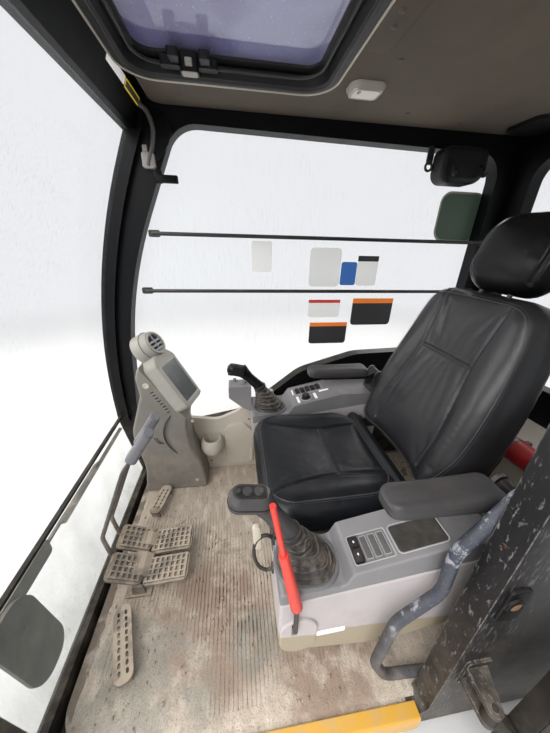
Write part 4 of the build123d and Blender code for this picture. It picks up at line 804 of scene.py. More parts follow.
# %% [markdown]
# Piping is a thin roll of the same vinyl, sewn into the seam where two panels meet at a corner. It is a tube
# laid on the skin, with one row of thread beside it. A plain seam gets two rows, one on each side.
# %% Piping and thread
PIPING_RADIUS = 0.0021
THREAD_LIFT, THREAD_STEP = 0.0004, 0.0021
FROM_SEAM, FROM_PIPING = 0.0052, 0.0065


def piped(cover, where, line, name, body):
    """Piping along a closed line drawn on a cover. Gives back its path."""
    laid = dropped(cover, where, [*line, line[0]], PIPING_RADIUS * 0.3)
    Shape().tube(laid, PIPING_RADIUS, 8).piece(name, "vinyl_edge", body, slot="vinyl")
    return laid


def sewing(cover, where, seams, piping_path, name, body):
    """All the thread of one cover."""
    thread = Shape()
    out = where.col[2].xyz
    for seam in seams:
        laid = dropped(cover, where, seam, THREAD_LIFT, THREAD_STEP)
        for side in (-1, 1):
            stitches(thread, laid, side * FROM_SEAM, out)
    stitches(thread, smooth_line(piping_path, THREAD_STEP), FROM_PIPING, out)
    made = thread.piece(name, "thread", body, slot="vinyl", smooth=False)
    print(name, "faces:", len(made.data.polygons))


cushion_edge = [(x * 0.86, y * 0.88) for x, y in cushion_outline]
cushion_path = piped(cushion, cushion_plane, cushion_edge, "seat_cushion_piping", "seat")
sewing(cushion, cushion_plane, cushion_seams, cushion_path, "seat_cushion_thread", "seat")

# %% [markdown]
# ## The backrest
# The backrest leans back by 17 degrees. Its bolsters stand forward beside the ribs and fade towards the
# shoulders, and the seams run down both bolsters with one across the chest. Its outline is drawn on one side
# and mirrored, and a smooth curve through the points rounds it.
# %% Backrest
BACK_LEAN = math.radians(17)
SEAT_MIDDLE = cushion_middle.x
RECLINE_HEIGHT = 0.470
back_plane = plane((SEAT_MIDDLE, 0.180, RECLINE_HEIGHT), (1, 0, 0),
                   (0, -math.cos(BACK_LEAN), math.sin(BACK_LEAN)))
BACK_DEPTH = 0.116
back_half = [(0.10, 0.044), (0.18, 0.050), (0.222, 0.090), (0.244, 0.18), (0.246, 0.27), (0.238, 0.37),
             (0.222, 0.47), (0.204, 0.56), (0.180, 0.610), (0.140, 0.632), (0.06, 0.638)]
back_round = [(x, y, 0) for x, y in back_half] + [(-x, y, 0) for x, y in reversed(back_half)]
back_outline = [tuple(p)[:2] for p in smooth_line(back_round, 0.012, closed=True)]


def back_front(x, y):
    """Bolsters that stand forward low down, a hollow between them, and a fuller small of the back."""
    low = 1 / (1 + math.exp((y - 0.42) / 0.05))
    bolster = (0.012 + 0.018 * low) * math.exp(-((abs(x) - 0.186 + 0.05 * (1 - low)) / 0.042) ** 2)
    hollow = -0.010 * math.exp(-(x / 0.12) ** 2)
    lumbar = 0.012 * math.exp(-(x / 0.12) ** 2 - ((y - 0.21) / 0.08) ** 2)
    return bolster + hollow + lumbar - PUFF


back_seams = both_sides([(0.120, 0.618), (0.112, 0.52), (0.108, 0.43), (0.124, 0.32), (0.142, 0.20),
                         (0.134, 0.105)])
CHEST_SEAM = 0.430
back_seams.append([Vector((-0.108, CHEST_SEAM, 0)), Vector((0.108, CHEST_SEAM, 0))])
back_skin = pad_shape(back_plane, back_outline, back_front, lambda x, y: -BACK_DEPTH, edge=0.050)
backrest = back_skin.piece("backrest_cover", "vinyl_back_painted_sheen", "backrest", slot="vinyl")
stuff(backrest, back_plane, back_seams, voxel=0.0065, swell=PUFF, hold_below=-0.085)
sew(backrest, back_plane, back_seams, depth=0.0026, width=0.0042, rumple=0.0009)
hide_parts("seat_back")
back_middle = sum((Vector(p) for p in back_outline), Vector((0, 0))) / len(back_outline)
back_edge_line = [tuple(back_middle + (Vector(p) - back_middle) * 0.915) for p in back_outline]
back_path = piped(backrest, back_plane, back_edge_line, "backrest_piping", "backrest")
sewing(backrest, back_plane, back_seams, back_path, "backrest_thread", "backrest")

# %% [markdown]
# Behind the cushion a flap of the same vinyl tucks in under the backrest. It hides the pan's hinge, as on the
# real seat, and its dark vinyl fills the gap under the backrest as painted shade. It moves with the pan, so
# the backrest can recline past it.
# %% Tuck flap
flap_line = [(0.128, 0.520), (0.140, 0.536), (0.150, 0.5425), (0.162, 0.541), (0.174, 0.533), (0.183, 0.521),
             (0.188, 0.504), (0.187, 0.499), (0.180, 0.510), (0.168, 0.522), (0.150, 0.527), (0.130, 0.512)]
flap_half = [(0.180, 1.0), (0.200, 0.97), (0.211, 0.85), (0.213, 0.55)]
flap_ends = [(-x, share) for x, share in reversed(flap_half)] + flap_half
flap_core = Vector((SEAT_MIDDLE, 0.155, 0.505))
flap_rings = []
for x, share in flap_ends:
    flap_rings.append([flap_core + Vector((x, (y - flap_core.y) * share, (z - flap_core.z) * share))
                       for y, z in flap_line])
# The flap's dark vinyl stands in for the shade in the gap behind the cushion: painted shade.
flap = Shape().loft(flap_rings).piece("seat_tuck_flap_and_shade", "vinyl", "seat")

# %% [markdown]
# The headrest is a rounder, fuller pillow. It stands on its posts a little above the backrest, on the same
# leaning plane, and a seam down each side joins its front panel to the cheeks.
# %% Headrest
HEAD_LOW, HEAD_HIGH = 0.642, 0.860
HEAD_WIDTH, HEAD_DEPTH = 0.268, 0.118
HEAD_PUFF = 0.009
head_plane = moved(back_plane, 0, (HEAD_LOW + HEAD_HIGH) / 2)


def head_front(x, y):
    """Fuller towards its middle, and a little more at the top."""
    return -0.010 - 0.006 * (x / 0.10) ** 2 - 0.010 * (y / 0.09) ** 2 + 0.004 * y / 0.09


head_outline = [(x * (1 - 0.10 * max(0, y / 0.108)), y)
                for x, y in rounded(HEAD_WIDTH, HEAD_HIGH - HEAD_LOW, 0.074, 12)]
head_seams = both_sides([(0.086, 0.084), (0.104, 0.03), (0.106, -0.03), (0.094, -0.076)])
head_skin = pad_shape(head_plane, head_outline, head_front, lambda x, y: -HEAD_DEPTH + 0.008,
                      edge=0.058, back_edge=0.034)
headrest = head_skin.piece("headrest_cover", "vinyl_dark", "headrest", slot="vinyl")
stuff(headrest, head_plane, head_seams, voxel=0.0055, swell=HEAD_PUFF, hold_below=-HEAD_DEPTH - 0.01)
sew(headrest, head_plane, head_seams, depth=0.0024, width=0.0038, rumple=0.0007)
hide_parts("headrest")
cheek = dropped(headrest, head_plane, head_seams[1], THREAD_LIFT, THREAD_STEP)
sewing(headrest, head_plane, head_seams, cheek, "headrest_thread", "headrest")

# %% [markdown]
# ## The armrests
# Each pad is a stiff foam skin, flat on top with rolled edges, narrower in front. A seam in the moulding
# runs round it a little above the arm that carries it.
# %% Armrest pads
GROOVE_DROP, GROOVE_WIDTH = 0.019, 0.0016


def groove_round(pad, middle, height):
    """Presses a level groove into a pad's side, at a height."""
    spots = points_of(pad.data)
    sink = np.exp(-((spots[:, 2] - height) / GROOVE_WIDTH) ** 2) * GROOVE_WIDTH
    inward = (spots - np.array([middle.x, middle.y, 0])) * [1, 1, 0]
    inward /= np.maximum(np.linalg.norm(inward, axis=1), 1e-6)[:, None]
    pad.data.vertices.foreach_set("co", (spots - inward * sink[:, None]).ravel())


for side_name in ("left", "right"):
    body = side_name + "_armrest"
    pad_low, pad_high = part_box(body + "_pad")
    pad_middle = (pad_low + pad_high) / 2
    pad_size = pad_high - pad_low
    pad_plane = top_plane(pad_middle.x, pad_middle.y, pad_high.z)
    pad_outline = [(x * (0.93 + 0.07 * y / (pad_size.y / 2)), y)
                   for x, y in rounded(pad_size.x - 0.002, pad_size.y - 0.002, 0.024, 8)]
    arm_skin = pad_shape(pad_plane, pad_outline,
                         lambda x, y: -0.0035 - 0.0015 * math.cos(x / pad_size.x * 9),
                         lambda x, y: -pad_size.z + 0.0006, edge=0.011, back_edge=0.006)
    arm_pad = arm_skin.piece(body + "_cover", "armrest", body, slot="vinyl")
    stuff(arm_pad, pad_plane, [], voxel=0.0045, swell=0.0025, hold_below=-pad_size.z + 0.004)
    groove_round(arm_pad, pad_middle, pad_high.z - GROOVE_DROP)
    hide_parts(body + "_pad")
print("soft pieces done")

# %% [markdown]
# ## Finishes for the fittings
# Labels, clips, screws and trims are too small for the frame's slots, so they get their own finishes here.
# Every label is blank: only its colour and its place follow the real cab. Labels glow faintly in their own
# colour: a painted glow, as of daylight through the paper.
# %% Fitting finishes
LABEL_PAINTED_GLOW = 0.34
for name, colour, rough in (
    ("label_white", (0.80, 0.80, 0.78), 0.45), ("label_black", (0.03, 0.03, 0.032), 0.4),
    ("label_blue", (0.04, 0.14, 0.42), 0.45), ("label_orange", (0.78, 0.20, 0.03), 0.45),
    ("label_red", (0.55, 0.05, 0.04), 0.45), ("label_green", (0.045, 0.07, 0.05), 0.5),
    ("label_yellow", (0.75, 0.55, 0.03), 0.45), ("clip_cream", (0.60, 0.55, 0.44), 0.5),
    ("collar", (0.16, 0.16, 0.17), 0.45), ("bezel", (0.36, 0.345, 0.31), 0.5),
    ("guide", (0.10, 0.095, 0.09), 0.4), ("stud", (0.10, 0.085, 0.07), 0.7),
    ("bead", (0.50, 0.46, 0.40), 0.6),
    ("lamp_frame", (0.36, 0.33, 0.28), 0.4), ("grip_ring", (0.035, 0.035, 0.038), 0.35),
    ("blank", (0.085, 0.083, 0.087), 0.55), ("red_can", (0.42, 0.02, 0.025), 0.3),
):
    # Labels get a faint glow of their own colour: painted light, not a lamp.
    painted_glow = LABEL_PAINTED_GLOW if name.startswith("label") else 0.0
    worn(name, colour, rough=rough, dust=0.12, low_dust=0.08, bevel=0.0003, grain_depth=0.00005,
         emission_color=colour, emission_strength=painted_glow)
worn("screw", (0.30, 0.29, 0.27), rough=0.4, dust=0.25, low_dust=0.3, bevel=0.0004, metallic=0.85)
worn("rubber_trim", (0.012, 0.012, 0.013), rough=0.5, dust=0.10, low_dust=0.3)
# Pale colour of the raised rims on both consoles: a painted highlight along their ridges.
worn("rim_painted_highlight", (0.46, 0.45, 0.45), rough=0.5, dust=0.1, low_dust=0.1, bevel=0.0004)
worn("rust", (0.16, 0.075, 0.035), second=(0.30, 0.16, 0.07), rough=0.85, dust=0.1)


def box_outline(wide, tall):
    """Corners of a plain rectangle with a hair of radius."""
    return rounded(wide, tall, min(wide, tall) * 0.12, 2)


def sticker(name, finish, where, size, slot, low=-0.0004, high=0.0007, smooth=True):
    """Blank label of a size (width, height) on a plane."""
    sheet = Shape().slab(where, box_outline(*size), low, high, 0.0001)
    sheet.piece(name, finish, "cab", slot=slot, smooth=smooth)


def console_top(x, y, z, rise, run):
    """A plane on a console, which climbs to the rear by rise over run."""
    slope = math.atan2(rise, run)
    return plane((x, y, z), (1, 0, 0), (0, -math.sin(slope), math.cos(slope)))


# %% [markdown]
# ## Left console
# The top strip carries a switch row and a tray, both framed by a raised bead whose pale colour is a painted
# highlight.
# The first place in the row holds a double rocker, the others are blanks, and the tray has a rubber liner.
# The tray's depth is measured with a ray, so the liner follows the part below it.
# %% Left console fittings
console_plane = console_top(0.360, -0.092, 0.550, rise=0.048, run=0.212)
SWITCHES, TRAY = 0.056, 0.168
PITCH = 0.021
BLANKS = [SWITCHES + share * PITCH for share in (-0.5, 0.5, 1.5)]
console_rims = Shape()
console_rims.rim(moved(console_plane, 0, SWITCHES), rounded(0.064, 0.092, 0.005), 0.0012)
console_rims.rim(moved(console_plane, 0, TRAY), rounded(0.065, 0.117, 0.010), 0.0014)
blanks = Shape()
for spot in BLANKS:
    console_rims.rim(moved(console_plane, 0, spot, 0.0006), rounded(0.050, 0.0155, 0.003), 0.0006)
    blanks.slab(moved(console_plane, 0, spot), rounded(0.047, 0.0130, 0.002), -0.001, 0.0009, 0.0003)
console_rims.piece("console_rims", "rim_painted_highlight", "cab", slot="plastic_dark")
rocker_plane = moved(console_plane, 0, SWITCHES - 1.5 * PITCH - 0.002)
rocker, lenses = Shape(), Shape()
rocker.slab(rocker_plane, rounded(0.056, 0.022, 0.003), -0.003, 0.0045, 0.0012)
for side in (-1, 1):
    half = tipped(moved(rocker_plane, side * 0.0135, 0, 0.0045), side * 0.16)
    rocker.slab(half, rounded(0.0235, 0.016, 0.002), -0.002, 0.0026, 0.0008)
    lens = moved(rocker_plane, side * 0.0135, 0, 0.0072)
    lenses.slab(lens, rounded(0.005, 0.003, 0.001), -0.001, 0.0006, 0.0003)
rocker.piece("double_rocker", "plastic_black", "cab")
lenses.piece("rocker_lenses", "label_white", "cab", slot="lamp")
blanks.piece("switch_blanks", "blank", "cab", slot="plastic_dark")
PROBE = 0.03
tray_plane = moved(console_plane, 0, TRAY)
probe_start = tray_plane @ Vector((0, 0, PROBE))
graph = bpy.context.evaluated_depsgraph_get()
tray_floor = scene.ray_cast(graph, probe_start, -console_plane.col[2].xyz)[1]
tray_depth = PROBE - (tray_floor - probe_start).length
print("tray depth: %.4f" % tray_depth)
liner_rings = []
for trim, height in ((0.0, -0.0006), (0.0016, -0.0008), (0.0030, tray_depth + 0.003),
                     (0.0060, tray_depth + 0.0009), (0.03, tray_depth + 0.0006)):
    liner_rings.append(on_plane(tray_plane, rounded(0.0605 - trim, 0.1125 - trim, 0.008), height))
Shape().loft(liner_rings).piece("tray_liner", "rubber_black", "cab")

# %% [markdown]
# The console's side towards the door carries a blank label and three screws. Round the foot of each lever's
# boot lies a moulded collar, drawn once as a profile. In front hang a loop of rubber hose and a cream clip.
# %% Console label, collars and clip
SIDE_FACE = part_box("left_console_housing")[1].x - 0.007
sticker("console_label", "label_white", plane((SIDE_FACE, -0.126, 0.338), (0, 1, 0.06), (1, 0, 0)),
        (0.080, 0.020), "plastic_grey", low=-0.0002)
side_screws = Shape()
side_spots = ((0.262, 0.50), (0.262, 0.33), (0.02, 0.262))
side_screws.screws([side_plane(SIDE_FACE, y, z) for y, z in side_spots], 0.0055)
side_screws.piece("console_screws", "screw", "cab", slot="steel_dark")
LEVER_BASES = {"left": Vector((0.344, -0.178, 0.512)), "right": Vector((-0.318, -0.184, 0.508))}
NECK = Vector((0, -0.044, 0.108))
collars = Shape()
collar_profile = [(0.014, 0.0), (0.013, 0.004), (0.008, 0.007), (0.001, 0.0075), (-0.006, 0.006),
                  (-0.006, 0.0)]
for base in LEVER_BASES.values():
    collars.frame(top_plane(*base), (0.114, 0.138), 0.055, collar_profile, steps=8)
collars.piece("boot_collars", "collar", "cab", slot="plastic_dark")
HOSE_X = 0.306
hose_line = [(-0.2475, 0.545), (-0.268, 0.562), (-0.290, 0.545), (-0.296, 0.500), (-0.286, 0.452),
             (-0.266, 0.430), (-0.2475, 0.436)]
hanger = Shape().tube(smooth_line([(HOSE_X, y, z) for y, z in hose_line], 0.006), 0.0045)
for height in (0.545, 0.436):
    flange = plane((HOSE_X, -0.248, height), (1, 0, 0), (0, -1, 0))
    hanger.slab(flange, rounded(0.022, 0.022, 0.006), 0, 0.005)
hanger.piece("console_loop", "rubber_black", "cab")
clip = Shape()
clip_plane = plane((0.300, -0.288, 0.556), (0, 1, 0.05), (1, 0, 0))
clip.slab(clip_plane, rounded(0.019, 0.078, 0.008), -0.001, 0.010, 0.003)
clip.piece("console_clip", "clip_cream", "cab", slot="plastic_beige")

# %% [markdown]
# ## Creased boots
# Each bellows has gone hard and crumpled. Its folds are rolls of rubber that wander round the boot: every
# roll is a closed line at a wavy height, pushed in from outside until it meets the boot, with a thickness
# that comes and goes. A ray finds the boot's skin, so the rolls lie on it wherever it bulges.
# %% Boot creases
boot_mesh = nodes["lever_boots"].data
boot_tree = BVHTree.FromPolygons([v.co.copy() for v in boot_mesh.vertices],
                                 [p.vertices[:] for p in boot_mesh.polygons])
ROLLS, ROLL_POINTS = 8, 46
ROLL_RADIUS, ROLL_SWELL = 0.0026, 0.0020


def roll_round(base, number):
    """One roll's points and radii, from the boot's foot at base."""
    line, radii = [], []
    for step in range(ROLL_POINTS + 1):
        angle = step % ROLL_POINTS * math.tau / ROLL_POINTS
        way = Vector((math.cos(angle), math.sin(angle), 0))
        wave = field.noise(Vector((way.x * 1.1, way.y * 1.1, number * 2.3 + base.x * 9)))
        share = min(0.93, max(0.05, (number + 0.6) / (ROLLS + 0.4) + wave * 0.085))
        spot = boot_tree.ray_cast(base + NECK * share + way * 0.12, -way)[0]
        if spot is None:
            continue
        line.append(spot - way * 0.0008)
        swell = field.noise(Vector((way.x * 2.2, way.y * 2.2, number * 1.7 + 5)))
        radii.append(ROLL_RADIUS + ROLL_SWELL * max(-0.9, min(1.0, swell * 2.2)))
    return line, radii


for side_name, base in LEVER_BASES.items():
    rolls = Shape()
    for number in range(ROLLS):
        line, radii = roll_round(base, number)
        if len(line) > 8:
            rolls.tube(line, radii, 8)
    rolls.piece(side_name + "_boot_rolls", "boot_roll", "cab", slot="rubber_black")

# %% [markdown]
# ## Lever heads
# The joystick heads are hammers of hard rubber with a softer inlay on top, two thumb buttons in rings and a
# rocker under the forefinger. A ring clamp closes each bellows round its neck.
# %% Joystick fittings
for side_name, lean, height, rise in (("left", 32, 0.124, 8), ("right", 44, 0.108, 14)):
    lean, rise = math.radians(lean), math.radians(rise)
    neck = LEVER_BASES[side_name] + NECK
    head = neck + Vector((0, -math.sin(lean) * height - 0.016, math.cos(lean) * height))
    top = plane(head, (0, -math.cos(rise), math.sin(rise)), (0, math.sin(rise), math.cos(rise)))
    inlay = Shape().slab(top, rounded(0.064, 0.030, 0.013), 0.020, 0.0234, 0.001)
    inlay.piece(side_name + "_grip_inlay", "plastic_black", "cab", slot="rubber_black")
    rings = Shape()
    for along in (0.008, -0.014):
        rings.turned(moved(top, along, 0, 0.0225),
                     [(0.0104, 0), (0.0104, 0.0022), (0.0092, 0.003), (0.0084, 0.0026), (0.0084, 0)], 20)
    rings.turned(moved(top, 0.026, 0, 0.0225), [(0.005, 0), (0.0048, 0.003), (0.003, 0.004)], 16)
    rings.piece(side_name + "_grip_rings", "grip_ring", "cab", slot="plastic_black")
    parting = Shape().rim(moved(top, 0, 0, -0.001), rounded(0.0885, 0.0502, 0.024, 8), 0.0008)
    trigger = moved(top, 0.026, 0, -0.020) @ Matrix.Rotation(math.pi, 4, "X")
    parting.slab(trigger, rounded(0.022, 0.014, 0.005), -0.004, 0.005, 0.0016)
    parting.piece(side_name + "_grip_seam", "plastic_black", "cab", slot="rubber_black")
    clamp_plane = plane(neck, (1, 0, 0), (0, -math.sin(lean) * 0.5, 1))
    clamp = Shape().turned(clamp_plane, [(0.0235, -0.006), (0.0262, -0.005), (0.0268, 0.0), (0.0262, 0.005),
                                         (0.0235, 0.006)], 28)
    clamp.piece(side_name + "_boot_clamp", "rubber_black", "cab")

# %% [markdown]
# ## Monitor
# The pod's screen has a raised bezel, and the air outlet's turret turns in a
# dark gap. Small screws hold the pod's face, and a boss on the column's side covers another.
# %% Monitor fittings
HEAD_TURN, HEAD_TILT = math.radians(74.7), math.radians(31.9)
OUTLET = 0.180
monitor_plane = plane((-0.358, -0.559, 0.645), (-math.sin(HEAD_TURN), math.cos(HEAD_TURN), 0),
                      (math.cos(HEAD_TILT) * math.cos(HEAD_TURN), math.cos(HEAD_TILT) * math.sin(HEAD_TURN),
                       math.sin(HEAD_TILT)))
bezel = Shape().frame(monitor_plane, (0.113, 0.171), 0.004,
                      [(0.022, -0.0004), (0.020, 0.0016), (0.006, 0.0022), (0.000, 0.0010), (-0.003, -0.002),
                       (-0.003, -0.004)])
bezel.piece("monitor_bezel", "bezel", "cab", slot="plastic_beige")
gap = Shape()
for radius, height in ((0.0484, 0.0095), (0.0592, -0.019)):
    gap.rim(moved(monitor_plane, 0, OUTLET, height), circle(radius, 40), 0.0010, sides=6)
gap.piece("outlet_gap", "rubber_trim", "cab", slot="plastic_black")
pod_screws = Shape()
pod_screws.screws([moved(monitor_plane, x, y) for x, y in (
    (-0.066, -0.101), (0.066, -0.101), (-0.066, 0.100), (0.066, 0.100))], 0.0028, 0.0016)
pod_screws.piece("pod_screws", "screw", "cab", slot="steel_dark")
COLUMN_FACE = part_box("monitor_column")[1].x
bosses = Shape()
for y, z, size in ((-0.683, 0.649, 0.0085), (-0.520, 0.470, 0.0045), (-0.530, 0.130, 0.006)):
    bosses.turned(side_plane(COLUMN_FACE, y, z), [(size * 1.5, -0.0005), (size * 1.45, 0.002), (size, 0.003),
                                                  (size * 0.9, 0.001), (size * 0.5, 0.0005)], 20)
bosses.piece("column_bosses", "plastic_beige", "cab")
spring_line = [(-0.002, -0.690, 0.392), (0.006, -0.684, 0.388), (0.010, -0.674, 0.374),
               (0.004, -0.664, 0.364), (-0.002, -0.660, 0.362)]
springs = Shape()
for shift in (0, 0.009):
    springs.tube(smooth_line([(COLUMN_FACE + x, y + shift, z) for x, y, z in spring_line], 0.002), 0.0017, 8)
springs.piece("column_springs", "rubber_trim", "cab", slot="steel_dark")

# %% [markdown]
# ## Right side
# The trim beside the monitor has a plugged hole and a cream clip at its rear. On the right console a row of
# rockers and a dial sit behind the lever, with blank labels between them.
# %% Trim and right console fittings
TRIM_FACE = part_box("right_trim")[1].x
tag = Shape().slab(side_plane(TRIM_FACE, -0.262, 0.161), rounded(0.014, 0.078, 0.005), -0.0005, 0.005, 0.0015)
tag.piece("trim_clip", "clip_cream", "cab", slot="plastic_beige")
plugs = Shape()
for y, z in ((-0.271, 0.376), (-0.47, 0.130), (-0.19, 0.42)):
    plugs.turned(side_plane(TRIM_FACE - 0.012, y, z),
                 [(0.005, -0.001), (0.005, 0.0008), (0.0025, 0.0012), (0.002, -0.0005)], 16)
plugs.piece("trim_plugs", "rubber_trim", "cab", slot="plastic_black")
right_plane = console_top(-0.337, -0.084, 0.546, rise=0.046, run=0.204)
ROCKER_ROW = -0.030
rockers, rims, labels = Shape(), Shape(), Shape()
for number in range(5):
    spot = moved(right_plane, ROCKER_ROW, 0.036 + number * 0.024)
    rockers.slab(spot, rounded(0.044, 0.020, 0.003), -0.001, 0.003, 0.001)
    rockers.slab(tipped(spot, 0.14 * (-1) ** number), rounded(0.034, 0.014, 0.002), 0, 0.0065, 0.0012)
rims.rim(moved(right_plane, ROCKER_ROW, 0.084), rounded(0.058, 0.134, 0.006), 0.0014)
dial_plane = moved(right_plane, 0.040, 0.062)
rockers.turned(dial_plane, [(0.021, -0.001), (0.021, 0.003), (0.0165, 0.0045), (0.0155, 0.018),
                            (0.0135, 0.0205), (0.004, 0.021)], 28)
rims.turned(dial_plane, [(0.025, -0.001), (0.025, 0.002), (0.022, 0.0028), (0.0215, 0.001)], 32)
for x, y, wide, tall in ((0.040, 0.026, 0.050, 0.011), (0.040, 0.104, 0.046, 0.012),
                         (0.012, 0.150, 0.012, 0.044), (ROCKER_ROW, 0.014, 0.044, 0.008)):
    labels.slab(moved(right_plane, x, y), box_outline(wide, tall), -0.0002, 0.0006, 0.0001)
rockers.piece("right_console_rockers", "plastic_black", "cab")
rims.piece("right_console_rims", "rim_painted_highlight", "cab", slot="plastic_dark")
labels.piece("right_console_labels", "label_white", "cab", slot="plastic_grey")

# %% [markdown]
# ## Front corner of the roof
# Where the pillar meets the header, a bent tube guides the sash's hose down to a clip, in front of a black
# cover plate. Blank labels lie on the header's inner face, and a short hook stands out over the window's
# corner.
# %% Front corner fittings
PILLAR_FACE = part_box("right_side_frame")[1].x
pillar_plane = side_plane(PILLAR_FACE)
cover_outline = [(-0.586, 1.402), (-0.556, 1.420), (-0.520, 1.470), (-0.503, 1.505), (-0.508, 1.530),
                 (-0.532, 1.560), (-0.572, 1.570), (-0.594, 1.540), (-0.600, 1.450)]
cover = Shape().slab(pillar_plane, cover_outline, 0, 0.006, 0.002)
cover.piece("corner_cover", "frame_black", "cab")
guide_line = [(-0.425, -0.592, 1.562), (-0.430, -0.572, 1.545), (-0.434, -0.561, 1.505),
              (-0.436, -0.570, 1.460), (-0.436, -0.584, 1.424), (-0.436, -0.590, 1.405)]
guide = Shape().tube(smooth_line(guide_line, 0.006), 0.0075, 14)
guide.piece("guide_tube", "guide", "cab", slot="plastic_grey")
guide_clip = Shape()
guide_clip.slab(moved(pillar_plane, -0.588, 1.421), rounded(0.042, 0.046, 0.009), 0, 0.017, 0.004)
guide_clip.slab(moved(pillar_plane, -0.596, 1.452), rounded(0.016, 0.024, 0.004), 0, 0.010, 0.002)
guide_clip.piece("guide_clip", "bezel", "cab", slot="plastic_beige")
hook = Shape()
hook.slab(moved(pillar_plane, -0.535, 1.372), rounded(0.070, 0.024, 0.004), 0.001, 0.012, 0.002)
hook.slab(moved(pillar_plane, -0.565, 1.378), rounded(0.028, 0.040, 0.006), 0.0, 0.008, 0.002)
hook.piece("window_hook", "frame_black", "cab")
HEADER_FACING = (0, 0.91, -0.41)
label_plane = plane((-0.243, -0.5905, 1.565), (1, 0, 0), HEADER_FACING)
strip_plane = plane((-0.365, -0.5912, 1.5640), (1, 0, 0), HEADER_FACING)
sticker("header_label", "label_white", label_plane, (0.115, 0.019), "frame_black")
sticker("header_strip_border", "label_yellow", strip_plane, (0.118, 0.021), "frame_black")
sticker("header_strip", "label_black", strip_plane, (0.110, 0.014), "frame_black", low=0.0, high=0.0011)

# %% [markdown]
# ## Lining, hatch and lamp
# The lining has an access cover behind the hatch with two screws, and a pale bead where it meets the hatch.
# The hatch ring carries two soft lips of its seal.
# %% Lining fittings
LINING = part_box("headliner")[0].z
access = Shape().slab(ceiling_plane(0.035, 0.004, LINING), rounded(0.21, 0.062, 0.012), 0, 0.006, 0.003)
access.piece("lining_access_cover", "lining", "cab")
access_spots = ((0.012, 0.002), (0.052, -0.004))
stud_spots = [(side * x, y) for x, y in ((0.350, 0.252), (0.383, 0.468)) for side in (-1, 1)]
stud_spots += [(-0.095, 0.078), (-0.02, 0.60)]
studs = Shape()
studs.screws([ceiling_plane(x, y, LINING - 0.006) for x, y in access_spots], 0.0055)
studs.screws([ceiling_plane(x, y, LINING) for x, y in stud_spots], 0.0065, 0.0025)
studs.piece("lining_studs", "stud", "cab", slot="lining")
trim_low, trim_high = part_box("hatch_trim")
trim_middle = (trim_low + trim_high) / 2
trim_size = trim_high - trim_low
hatch_sheet = ceiling_plane(trim_middle.x, trim_middle.y, trim_low.z)
bead_outline = rounded(trim_size.x + 0.002, trim_size.y + 0.002, 0.088, 10)
bead = Shape().rim(moved(hatch_sheet, 0, 0, -0.001), bead_outline, 0.0028)
bead.piece("hatch_lining_bead", "bead", "cab", slot="lining")
lips = Shape()
for inset, radius, height in ((0.021, 0.0045, -0.001), (0.047, 0.0040, -0.015)):
    lip = rounded(trim_size.x - 2 * inset, trim_size.y - 2 * inset, 0.066, 10)
    lips.rim(moved(hatch_sheet, 0, 0, height), lip, radius)
lips.piece("hatch_seal_lips", "rubber_trim", "cab", slot="rubber_black")

# %% [markdown]
# Each hatch latch is a pale body between two black wings, drawn once and mirrored for the other side. They
# ride on the hatch, so they swing up with it. The lamp has a frame round its lens and a small switch.
# %% Latches and lamp
BLADE = [(-0.016, -0.011), (0.044, -0.013), (0.048, -0.008), (0.048, 0.008), (0.044, 0.012), (-0.016, 0.011)]
for side, side_name in ((-1, "right"), (1, "left")):
    latch_top = ceiling_plane(side * 0.238, -0.413, 1.566)
    latch = Shape().slab(latch_top, rounded(0.027, 0.040, 0.007), -0.030, 0.0018, 0.003)
    latch.slab(moved(latch_top, -side * 0.014, 0, -0.018), rounded(0.020, 0.018, 0.004), -0.004, 0.009, 0.002)
    latch.piece("hatch_latch_body_" + side_name, "bezel", "hatch", slot="plastic_black")
    blade = BLADE if side < 0 else [(-x, y) for x, y in reversed(BLADE)]
    blades = Shape()
    for shift in (-0.040, 0.033):
        blade_plane = tipped(moved(latch_top, -side * 0.014, shift, -0.017), side * 0.16)
        blades.slab(blade_plane, blade, -0.012, 0.004, 0.002)
    blades.piece("hatch_latch_blades_" + side_name, "plastic_black", "hatch")
lamp_low, lamp_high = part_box("dome_light")
lamp_middle = (lamp_low + lamp_high) / 2
lamp_plane = ceiling_plane(lamp_middle.x, lamp_middle.y, lamp_low.z)
lamp_frame = Shape().frame(lamp_plane, (0.046, 0.070), 0.010,
                           [(0.030, -0.0155), (0.028, -0.011), (0.014, -0.002), (0.006, 0.001), (0, 0.0006),
                            (-0.001, -0.002)])
lamp_frame.slab(moved(lamp_plane, 0.010, 0.022), rounded(0.014, 0.008, 0.002), -0.001, 0.0024)
lamp_frame.piece("lamp_frame", "lamp_frame", "cab", slot="plastic_beige")

# %% [markdown]
# ## Labels on the window
# The right window carries a group of stickers. They are blank here: a pale or dark sheet, some with a
# coloured head that lies a hair above it.
# %% Window labels
WINDOW = -0.502
window_plane = side_plane(WINDOW)
window_labels = (          # finish, head's finish, middle y, middle z, width, height
    ("label_white", None, -0.203, 1.127, 0.084, 0.120),
    ("label_white", None, 0.073, 1.088, 0.140, 0.160),
    ("label_blue", None, 0.183, 1.064, 0.072, 0.098),
    ("label_white", "label_black", 0.268, 1.076, 0.096, 0.126),
    ("label_white", "label_red", 0.086, 0.910, 0.150, 0.080),
    ("label_black", "label_orange", 0.322, 0.893, 0.200, 0.126),
    ("label_black", "label_orange", 0.116, 0.792, 0.184, 0.104),
)
for number, (sheet, head_finish, y, z, wide, tall) in enumerate(window_labels):
    sticker("window_label_%d" % number, sheet, moved(window_plane, y, z), (wide, tall), "glass_clear",
            low=0.0001, high=0.0006, smooth=False)
    if head_finish:
        sticker("window_label_head_%d" % number, head_finish, moved(window_plane, y, z + tall * 0.41),
                (wide, tall * 0.18), "glass_clear", low=0.0003, high=0.0009, smooth=False)
